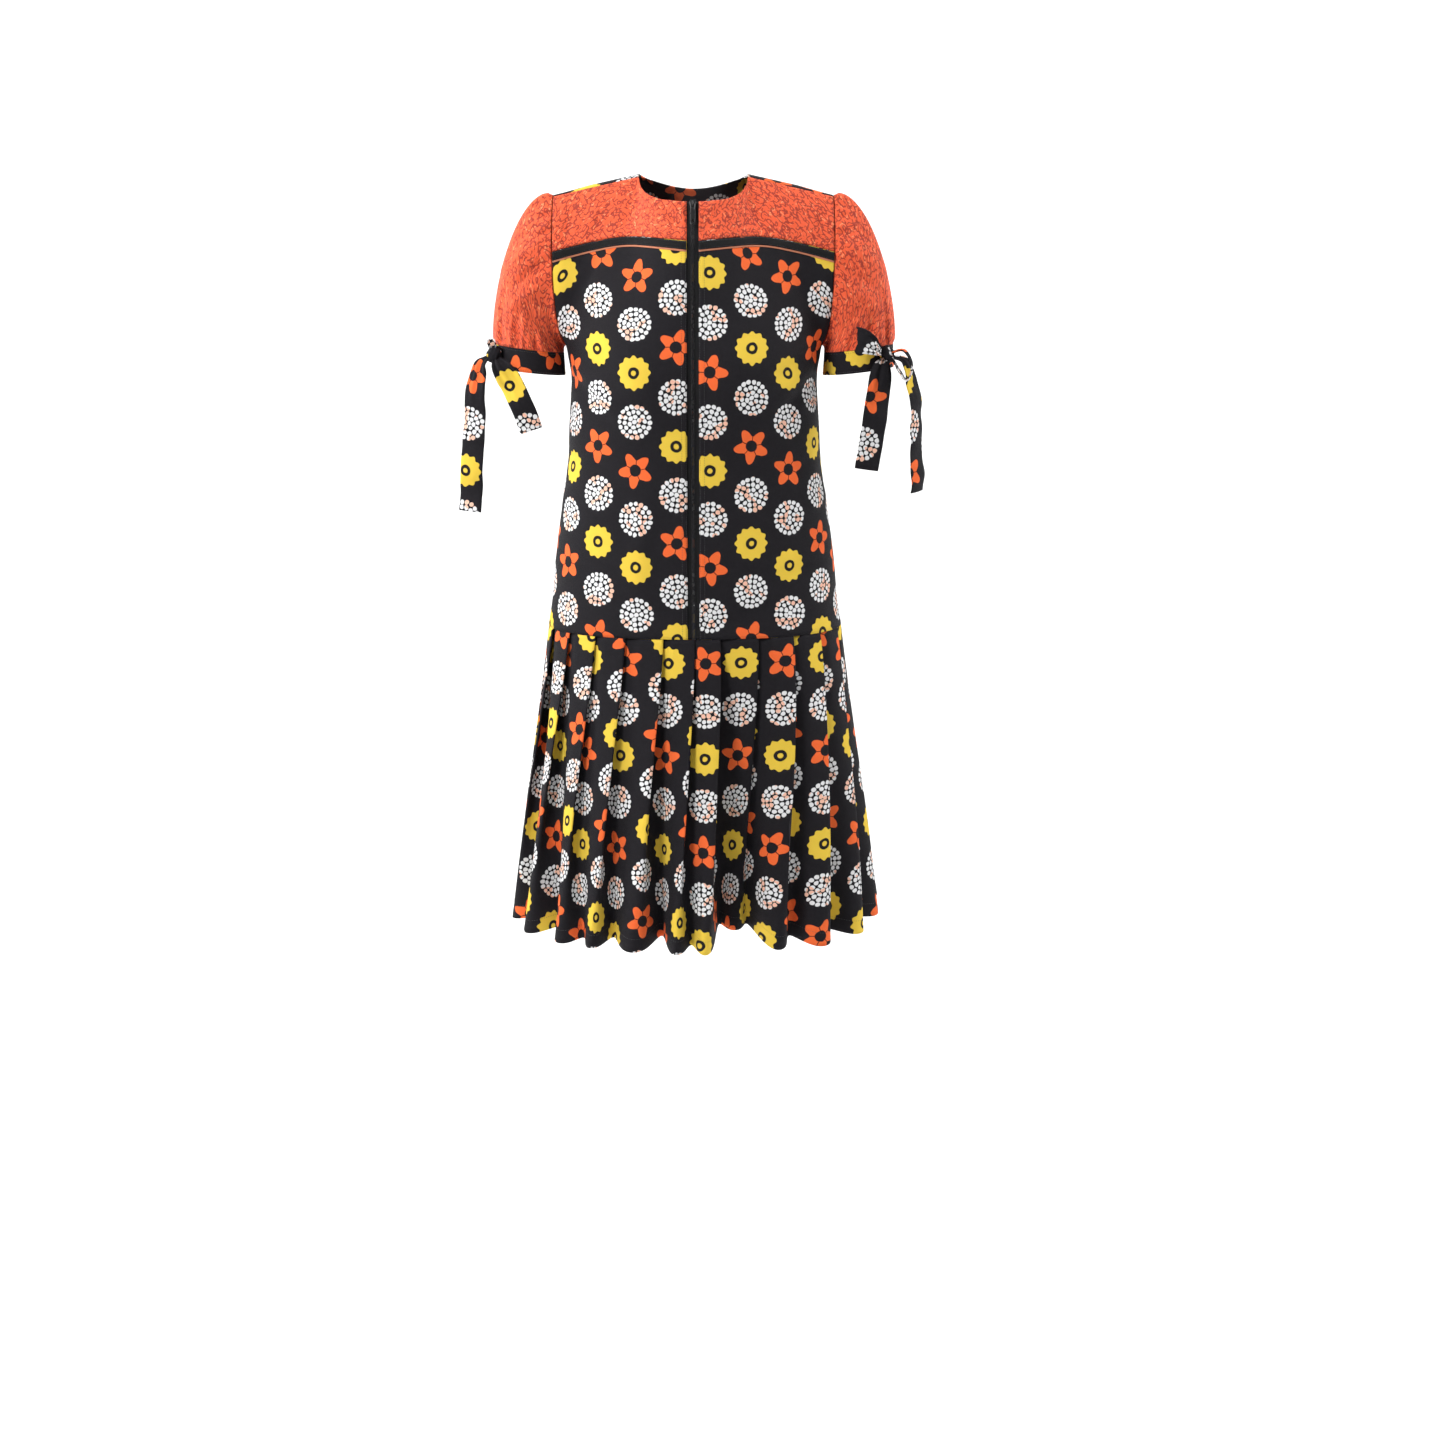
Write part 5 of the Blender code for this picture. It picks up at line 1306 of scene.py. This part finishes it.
def mottled(name, colour, paler, waves, detail, strength, **sockets):
    """A smooth material that a noise of object coordinates clouds with a paler colour."""
    made, tree, shader = finish(name, **sockets)
    where = add(tree, "ShaderNodeTexCoord", out=3)
    tone = add(tree, "MULTIPLY", add(tree, NOISE, where, None, waves, detail), strength)
    painted(tree, shader, colour, ((tone, paler),))
    return made


def moulded_nylon(name, colour):
    """Nylon monofilament, wound into the coil: smooth, so its curved bights each catch a highlight."""
    sockets = {"Roughness": 0.34, "IOR": 1.53, "Specular_IOR_Level": 0.5}
    return mottled(name, colour, "#3A393E", 400.0, 2.0, 0.35, **sockets)


def spun_thread(name, colour):
    """Polyester sewing thread: twisted plies, so it is a little glossier than the cloth it lies on."""
    sockets = {"Roughness": 0.55, "Sheen_Weight": 0.15, "Specular_IOR_Level": 0.4}
    return mottled(name, colour, "#6A686E", 1800.0, 1.0, 0.35, **sockets)


def studio_paper(name, colour):
    """Seamless background paper: matt, with nothing on it but a faint mottle of its fibres."""
    return mottled(name, colour, "#E4E4E4", 14.0, 3.0, 0.05, Roughness=0.95, Specular_IOR_Level=0.1)


def lacquered_zinc(name, colour):
    """Die-cast zinc under black lacquer: an even low gloss that is rubbed thin here and there."""
    made, tree, shader = finish(name, Roughness=0.34, Coat_Weight=0.5, Coat_Roughness=0.2)
    rubbed = add(tree, NOISE, add(tree, "ShaderNodeTexCoord", out=3), None, 260.0, 4.0, 0.65)
    mask = add(tree, "ShaderNodeMapRange", rubbed, 0.60, 0.75, 0.0, 0.5)
    painted(tree, shader, colour, ((mask, "#5B5A5F"),))
    rough = add(tree, "ShaderNodeMapRange", rubbed, 0.3, 0.8, 0.26, 0.45)
    tree.links.new(rough, shader.inputs["Roughness"])
    tree.links.new(add(tree, BUMP, 0.4, 0.00006, None, rubbed), shader.inputs["Normal"])
    return made


# What a user may change


def colour_property(name, description, value):
    """A colour that a user sees as sRGB."""
    plain = tuple(int(value[k : k + 2], 16) / 255 for k in (1, 3, 5))
    return bpy.props.FloatVectorProperty(
        name=name, description=description, default=plain, min=0.0, max=1.0, subtype="COLOR_GAMMA"
    )


def size_property(name, description, value):
    """A length in metres."""
    return bpy.props.FloatProperty(name=name, description=description, default=value, unit="LENGTH")


def power_property(name, description, value):
    """The power of a light, or the strength of the room."""
    return bpy.props.FloatProperty(name=name, description=description, default=value, min=0.0)


class DressPrint(bpy.types.PropertyGroup):
    """Sizes and colours of the printed cloths."""

    repeat: size_property("Repeat", "Height of one repeat of the print", 0.062)
    dots: size_property("Dot spacing", "Distance from ring to ring in a rosette", 0.0066)
    ground: colour_property("Ground", "Ground of the dark print", "#19171B")
    white: colour_property("White", "Dots of the rosettes", "#E6E6E7")
    peach: colour_property("Peach", "Dots here and there", "#F0BEA5")
    yellow: colour_property("Yellow", "Scalloped daisies", "#E8C545")
    orange_motif: colour_property("Orange motif", "Five-petalled flowers", "#F06A34")
    orange: colour_property("Orange", "Ground of the yoke and the sleeves", "#F05A2C")
    orange_deep: colour_property("Deep orange", "Cloudy shade in that ground", "#DE4520")
    orange_dark: colour_property("Dark strokes", "Strokes on that ground", "#9C230E")
    orange_light: colour_property("Light strokes", "Strokes beside them", "#FF8E5C")


class DressTrim(bpy.types.PropertyGroup):
    """Sizes and colours of the trim, the sewing and the zip."""

    stitch: size_property("Stitch length", "Distance from stitch to stitch", 0.0030)
    band: colour_property("Band", "Band under the yoke", "#0B0B0C")
    piping: colour_property("Piping", "Thin line under the band", "#D98A6A")
    tape: colour_property("Zip tape", "Woven tape of the zip", "#0A0A0B")
    coil: colour_property("Coil", "Coil of the zip", "#121214")
    metal: colour_property("Slider", "Lacquer of the slider", "#141416")
    thread: colour_property("Thread", "Sewing thread", "#121114")


class DressStage(bpy.types.PropertyGroup):
    """The floor and the lights."""

    paper: colour_property("Paper", "Floor and backdrop", "#FAFAFA")
    key_light: power_property("Key", "Power of the main light", 46.0)
    fill_light: power_property("Fill", "Power of each side light", 13.0)
    backdrop_light: power_property("Backdrop", "Power of each light on the backdrop", 110.0)
    surround: power_property("Surround", "Strength of the room", 0.20)


# Operators


def stands_for(node):
    """Hides a node of the frame, in whose place a piece now stands."""
    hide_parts(node)


def made_before(*names):
    """Materials that an operator before this one made."""
    return [bpy.data.materials[name] for name in names]


def laid(grid, normal, depth, levels):
    """Rows on a panel, each at a depth below its top edge: its columns read at that arc length."""
    rows = np.arange(len(grid))
    at = np.stack([np.interp(-levels, -depth[:, k], rows) for k in range(grid.shape[1])], axis=1)
    low = np.clip(at.astype(int), 0, len(grid) - 2)
    part = (at - low)[..., None]
    column = np.arange(grid.shape[1])[None]
    points = mix(grid[low, column], grid[low + 1, column], part)
    return points, direction(mix(normal[low, column], normal[low + 1, column], part))


class DRESS_OT_stage(bpy.types.Operator):
    """Makes the camera, the floor that sweeps up behind the dress, and the lights"""

    bl_idname = "dress.stage"
    bl_label = "Stage"

    def execute(self, context):
        look = context.scene.dress_stage
        camera = bpy.data.objects.new("camera", bpy.data.cameras.new("camera"))
        camera.data.lens, camera.data.sensor_width = CAMERA_LENS, SENSOR
        camera.location = CAMERA_PLACE
        camera.rotation_euler = (math.radians(90 - CAMERA_DOWN), 0.0, 0.0)
        context.scene.collection.objects.link(camera)
        context.scene.camera = camera
        context.scene.view_settings.view_transform = "Standard"

        # a level floor, a quarter circle, then a wall, each x across
        bend = np.linspace(0, math.pi / 2, COVE_STEPS)
        run = np.concatenate([[FLOOR_FRONT], BACKDROP_Y - COVE + COVE * np.sin(bend), [BACKDROP_Y]])
        rise = np.concatenate([[0.0], COVE * (1 - np.cos(bend)), [WALL_TOP]]) + FLOOR_Z
        across = np.array([-PAPER_HALF, PAPER_HALF])
        grid = np.stack(np.broadcast_arrays(across[None, :], run[:, None], rise[:, None]), axis=-1)
        mesh = bpy.data.meshes.new("backdrop")
        mesh.from_pydata(grid.reshape(-1, 3).tolist(), [], cells(*grid.shape[:2]).tolist())
        mesh.shade_smooth()
        mesh.materials.append(studio_paper("seamless_paper", look.paper))
        backdrop = bpy.data.objects.new("backdrop", mesh)
        context.scene.collection.objects.link(backdrop)

        for name, place, goal, size, power in LIGHTS:
            light = bpy.data.lights.new(name, "AREA")
            light.shape, light.size, light.energy = "DISK", size, getattr(look, power)
            made = bpy.data.objects.new(name, light)
            made.location = place
            aim = mathutils.Vector(goal) - mathutils.Vector(place)
            made.rotation_euler = aim.to_track_quat("-Z", "Y").to_euler()
            context.scene.collection.objects.link(made)

        world = bpy.data.worlds.new("room")
        context.scene.world = world
        world.use_nodes = True
        sky = world.node_tree.nodes["Background"]
        sky.inputs["Color"].default_value = linear("#FFFFFF")
        sky.inputs["Strength"].default_value = look.surround
        return {"FINISHED"}


class DRESS_OT_bodice(bpy.types.Operator):
    """Makes the front panels, the yokes with their trim and piping, and the back"""

    bl_idname = "dress.bodice"
    bl_label = "Bodice"

    def execute(self, context):
        dress, trim = context.scene.dress_print, context.scene.dress_trim
        black = printed_cotton("wax_printed_cotton_black", dress)
        reverse = printed_cotton("wax_printed_cotton_reverse", dress, FADED)
        orange = stroked_cotton("wax_printed_cotton_orange", dress)
        orange_reverse = stroked_cotton("wax_printed_cotton_orange_reverse", dress, FADED)
        trim_finishes = (
            plain_cotton("cotton_tape_black", trim.band),
            plain_cotton("cotton_piping_salmon", trim.piping),
            spun_thread("polyester_thread_black", trim.thread),
        )
        panel, yoke = front_grids()
        up = travelled(panel, 0)
        panel = creased(panel, outward(panel, BODY_MIDDLE), FRONT_CREASES)
        yoke = creased(yoke, outward(yoke, BODY_MIDDLE), YOKE_CREASES)
        normal = outward(panel, BODY_MIDDLE)
        for side, word in ((-1, "left"), (1, "right")):
            front = mirrored(panel, side)
            cut = flat_cut(panel, FRONT_START[word], side=side)
            piece = cloth(f"front_{word}", front, cut, (black, reverse))
            stands_for(f"bodice_front_{word}")
            cut = flat_cut(yoke, FRONT_START["right"] * side, YOKE_START, side)
            piece = cloth(f"yoke_cloth_{word}", mirrored(yoke, side), cut, (orange, orange_reverse))
            stands_for(f"yoke_{word}")
            self.trimmed(word, front, mirrored(normal, side), up[-1] - up, trim_finishes, trim.stitch)
        grid = back_grid()
        grid = creased(grid, outward(grid, BODY_MIDDLE), BACK_CREASES)
        cut = flat_cut(grid)
        cut[..., 0] += BACK_START - cut[:, BACK_COLUMNS - 1, None, 0]
        piece = cloth("back_cloth", grid, cut, (black, reverse))
        stands_for("bodice_back")
        return {"FINISHED"}

    @staticmethod
    def trimmed(word, front, normal, depth, finishes, pitch):
        """The band under the yoke, arched by half a sine, with its piping and two rows of stitches."""
        band_cloth, piping_cloth, thread = finishes
        band, out = laid(front, normal, depth, np.linspace(TRIM_FOOT, TRIM_TOP, TRIM_ROWS))
        arch = TRIM_LIFT + TRIM_ARCH * np.sin(np.linspace(0, math.pi, TRIM_ROWS))
        band = band + out * arch[:, None, None]
        piece = cloth(f"trim_{word}", band, flat_cut(band), (band_cloth,), thick=TRIM_THICK)
        stands_for(f"yoke_trim_{word}")
        depths, lifts = np.array(PIPING).T / 1000
        line, out = laid(front, normal, depth, TRIM_FOOT + depths)
        line = line + out * lifts[:, None, None]
        piece = cloth(f"piping_{word}", line, flat_cut(line), (piping_cloth,), thick=PIPING_THICK)
        for name, level in (("upper", TRIM_TOP + TRIM_SEWN), ("lower", TRIM_FOOT - TRIM_SEWN)):
            row, out = laid(front, normal, depth, np.array([level]))
            row = row + out * (TRIM_LIFT + SEWN_LIFT)
            stitches(f"trim_{name}_stitches_{word}", row[0], out[0], pitch, thread)


class DRESS_OT_skirt(bpy.types.Operator):
    """Makes the two pleated panels of the skirt, their hem and its stitching"""

    bl_idname = "dress.skirt"
    bl_label = "Skirt"

    def execute(self, context):
        trim = context.scene.dress_trim
        finishes = made_before("wax_printed_cotton_black", "wax_printed_cotton_reverse")
        thread = spun_thread("polyester_thread_dark", trim.thread)
        ring, cut = skirt_grid()
        normal = outward(ring, SKIRT_MIDDLE, closed=True)
        count = ring.shape[1] // PLEATS
        for word, first, creases, beside in (
            ("front", PLEATS // 4, SKIRT_FRONT_CREASES, ["front_left", "front_right"]),
            ("back", 3 * PLEATS // 4, SKIRT_BACK_CREASES, ["back_cloth"]),
        ):
            number = first * count + np.arange(PLEATS // 2 * count + 1)
            panel, out, flat = (values[:, number % ring.shape[1]] for values in (ring, normal, cut))
            flat[:, number >= ring.shape[1], 0] += PLEATS * PLEAT_CLOTH
            panel[:, 0] += direction(panel[:, 1] - panel[:, 0]) * SEAM / 2
            panel[:, -1] += direction(panel[:, -2] - panel[:, -1]) * SEAM / 2
            panel = creased(panel, out, creases)
            dent = np.exp(-(((self.above_hem(panel) - HEM_TURN) / HEM_DENT_WIDTH) ** 2))
            panel = panel - out * (HEM_DENT * dent)[..., None]
            piece = cloth(f"skirt_panel_{word}", panel, flat, finishes, inside=SKIRT_MIDDLE)
            stands_for(f"skirt_{word}")
            line, out = laid(panel, out, self.above_hem(panel), np.array([HEM_TURN]))
            line = line + out * SEWN_LIFT
            stitches(f"hem_stitches_{word}", line[0], out[0], trim.stitch * HEM_STITCH, thread)
        return {"FINISHED"}

    @staticmethod
    def above_hem(panel):
        """Each point's distance from the hem, up its own column."""
        down = travelled(panel, 0)
        return down[-1] - down


class DRESS_OT_sleeves(bpy.types.Operator):
    """Makes the two puffed sleeves and their cuffs"""

    bl_idname = "dress.sleeves"
    bl_label = "Sleeves"

    def execute(self, context):
        dark = made_before("wax_printed_cotton_black", "wax_printed_cotton_reverse")
        bright = made_before("wax_printed_cotton_orange", "wax_printed_cotton_orange_reverse")
        (thread,) = made_before("polyester_thread_dark")
        sleeve, cuff = sleeve_grid(), cuff_grid()
        sleeve = creased(sleeve, outward(sleeve, SLEEVE_MIDDLE, closed=True), SLEEVE_CREASES)
        edge, out = cuff, outward(cuff, (*CUFF_CENTRE[:2], CUFF_MIDDLE_Z), closed=True)
        edge, out = (np.concatenate([values, values[:, :1]], axis=1) for values in (edge, out))
        for side, word in ((-1, "left"), (1, "right")):
            inside = (side * CUFF_CENTRE[0], 0.0, SLEEVE_MIDDLE[2])
            made, cut = mirrored(sleeve, side), round_cut(sleeve, SLEEVE_START * side) * np.array([side, 1])
            piece = cloth(f"sleeve_cloth_{word}", made, cut, bright, closed=True, inside=inside)
            stands_for(f"sleeve_{word}")
            inside = (side * CUFF_CENTRE[0], CUFF_CENTRE[1], CUFF_MIDDLE_Z)
            made, cut = mirrored(cuff, side), round_cut(cuff, CUFF_START[word]) * np.array([side, 1])
            piece = cloth(f"cuff_band_{word}", made, cut, dark, closed=True, inside=inside)
            stands_for(f"cuff_{word}")
            for name, row in (("top", 1), ("foot", CUFF_ROWS - 2)):
                line, facing = mirrored(edge[row], side), mirrored(out[row], side)
                line, pitch = line + facing * SEWN_LIFT, context.scene.dress_trim.stitch
                stitches(f"cuff_{name}_stitches_{word}", line, facing, pitch, thread)
        return {"FINISHED"}


class DRESS_OT_ties(bpy.types.Operator):
    """Makes the knots of the sleeve ties, their tails and the loops of the right one's bow"""

    bl_idname = "dress.ties"
    bl_label = "Sleeve ties"

    def execute(self, context):
        black = made_before("wax_printed_cotton_black")
        centres = {word: knot_centre(*row) for word, row in KNOTS.items()}
        for word, centre in centres.items():
            points, faces = capped(knot_ball(centre))
            knot = placed(f"knot_ball_{word}", points, faces, black)
            self.cut_map(knot, centre, context.scene.dress_print.repeat / 4)
            band = knot_band(centre, KNOTS[word][0])
            loop = np.concatenate([band, band[:1]])
            cut = flat_cut(loop, TIE_STARTS[f"knot_{word}"])
            wrap = cloth(f"knot_wrap_{word}", loop, cut, black, inside=centre, thick=BAND_THICK)
            stands_for(f"knot_{word}")
        for number, (name, (word, leaves, returns, rows)) in enumerate(TIES.items()):
            keyed = tie_rows(centres[word], leaves, returns, rows)
            grid, cut = tie_grid(keyed, name == STANDING_LOOP, number * TIE_PHASE)
            cut = cut + np.array(TIE_STARTS[name])
            piece = cloth(f"{name}_cloth", grid, cut, black, inside=(0, 0.5, -0.3), thick=TIE_THICK)
            stands_for(name)
        return {"FINISHED"}

    @staticmethod
    def cut_map(piece, centre, up):
        """A UV map for a lump: its points' place from the front, about a spot of plain ground."""
        mesh = piece.data
        points = np.empty(len(mesh.vertices) * 3)
        mesh.vertices.foreach_get("co", points)
        corner = np.empty(len(mesh.loops), dtype=np.int32)
        mesh.loops.foreach_get("vertex_index", corner)
        place = points.reshape(-1, 3)[corner] - centre
        layer = mesh.uv_layers.new(name=CUT)
        layer.data.foreach_set("uv", np.stack([place[:, 0], place[:, 2] + place[:, 1] + up], axis=-1).ravel())


class DRESS_OT_zip(bpy.types.Operator):
    """Makes the tapes, the coil, the slider and the pull tab, and the stitching beside them"""

    bl_idname = "dress.zip"
    bl_label = "Zip"

    def execute(self, context):
        trim = context.scene.dress_trim
        tape = woven_tape("woven_polyester_tape_black", trim.tape)
        nylon = moulded_nylon("nylon_monofilament_black", trim.coil)
        metal = lacquered_zinc("die_cast_zinc_lacquered_black", trim.metal)
        (thread,) = made_before("polyester_thread_dark")
        edge, normal, step = zip_edge(*front_grids())
        grid = tape_grid(edge, normal, step)
        out = direction(normal * ON_MIDDLE)
        line = edge * ON_MIDDLE - out * CHAIN_DEPTH
        teeth, faces, start = [], [], 0
        for side, word in ((-1, "left"), (1, "right")):
            piece = cloth(f"tape_{word}", mirrored(grid, side), flat_cut(grid), (tape,), thick=TAPE_WALL)
            stands_for(f"zip_tape_{word}")
            made, corners = coil_teeth(line[:-2], out[:-2], side)
            teeth.append(made)
            faces.append(corners + start)
            start += len(made)
            for name, away in ZIP_SEWN:
                row = mirrored(edge + step * away + normal * ZIP_SEWN_LIFT, side)
                stitches(f"zip_{name}_stitches_{word}", row, mirrored(normal, side), trim.stitch, thread)
        coil = placed("zip_coil", np.concatenate(teeth), np.concatenate(faces), [nylon])
        stands_for("zip_chain")
        top, up, face = zip_frame(edge, normal)
        slider = joined("slider_body", self.slider(top + up * SLIDER_ABOVE, up, face), metal, "root")
        stands_for("zip_slider")
        hang = up * math.cos(TAB_LEAN) + face * math.sin(TAB_LEAN)
        tab = joined("pull_tab_plate", self.pull_tab(hang), metal, "pull_tab")
        stands_for("zip_pull_tab")
        return {"FINISHED"}

    @staticmethod
    def slider(top, up, face):
        """Two waisted plates, the post between them, and the arched bridge that holds the tab."""
        body = rounded_outline(SLIDER_HALF, 0.0, -SLIDER_LENGTH, SLIDER_CORNER, SLIDER_WAIST)
        plates = [(pillow(body, thick, SLIDER_ROUND), level) for level, thick in SLIDER_PLATES]
        plates.append((pillow(rounded_outline(*POST), POST_THICK, POST_ROUND), SLIDER_FRONT - POST_BACK))
        parts = [capped(stood(rings, top + face * level, up, face)) for rings, level in plates]
        arch = np.linspace(0, math.pi, BRIDGE_STEPS)
        along = BRIDGE_HALF * np.cos(arch) - BRIDGE_BELOW
        rise = SLIDER_FRONT + BRIDGE_FOOT + BRIDGE_RISE * np.sin(arch) ** BRIDGE_CURVE
        path = top + up * along[:, None] + face * rise[:, None]
        run = direction(np.gradient(path, axis=0))
        aside = ACROSS * BRIDGE_WIDE
        bridge = tube(path, aside, np.cross(run, aside) * BRIDGE_FLAT, BRIDGE_SPOKES, BRIDGE_SQUARE)
        return [*parts, capped(bridge)]

    @staticmethod
    def pull_tab(hang):
        """A plate with a hole, two arms and the pin that turns in the slider's bridge."""
        out = np.array([0.0, -hang[2], hang[1]])
        parts = [holed(rounded_outline(*TAB_PLATE), rounded_outline(*TAB_HOLE), PIVOT, hang, out)]
        shares = np.linspace(0, 1, BAR_STEPS)[:, None]
        for side in (-1, 1):
            path = PIVOT + hang * mix(ARM_TOP, ARM_FOOT, shares)
            path = path + ACROSS * side * mix(ARM_OUT, ARM_SPREAD, shares)
            parts.append(capped(tube(path, ACROSS * ARM_WIDE, out * ARM_THICK, BAR_SPOKES, ARM_SQUARE)))
        path = PIVOT + ACROSS * mix(-PIN_REACH, PIN_REACH, shares)
        return [*parts, capped(tube(path, hang * PIN_HALF, out * PIN_HALF, BAR_SPOKES))]


class DRESS_PT_pieces(bpy.types.Panel):
    """The pieces of the dress, with the sizes and colours behind them"""

    bl_label = "Pleated dress"
    bl_idname = "DRESS_PT_pieces"
    bl_space_type = "VIEW_3D"
    bl_region_type = "UI"
    bl_category = "Dress"

    def draw(self, context):
        for made in OPERATORS:
            self.layout.operator(made.bl_idname)
        for name, group in GROUPS.items():
            box = self.layout.box()
            for key in group.__annotations__:
                box.prop(getattr(context.scene, name), key)


OPERATORS = (DRESS_OT_stage, DRESS_OT_bodice, DRESS_OT_skirt, DRESS_OT_sleeves, DRESS_OT_ties, DRESS_OT_zip)
GROUPS = {"dress_print": DressPrint, "dress_trim": DressTrim, "dress_stage": DressStage}


def register():
    for group in (*GROUPS.values(), *OPERATORS, DRESS_PT_pieces):
        bpy.utils.register_class(group)
    for name, group in GROUPS.items():
        setattr(bpy.types.Scene, name, bpy.props.PointerProperty(type=group))


def unregister():
    for name in GROUPS:
        delattr(bpy.types.Scene, name)
    for group in (DRESS_PT_pieces, *OPERATORS[::-1], *GROUPS.values()):
        bpy.utils.unregister_class(group)


def main():
    register()
    for made in OPERATORS:
        group, name = made.bl_idname.split(".")
        getattr(getattr(bpy.ops, group), name)()


def plain(box):
    """A box as lists of numbers."""
    return [[float(value) for value in corner] for corner in box]


if __name__ == "__main__":
    main()
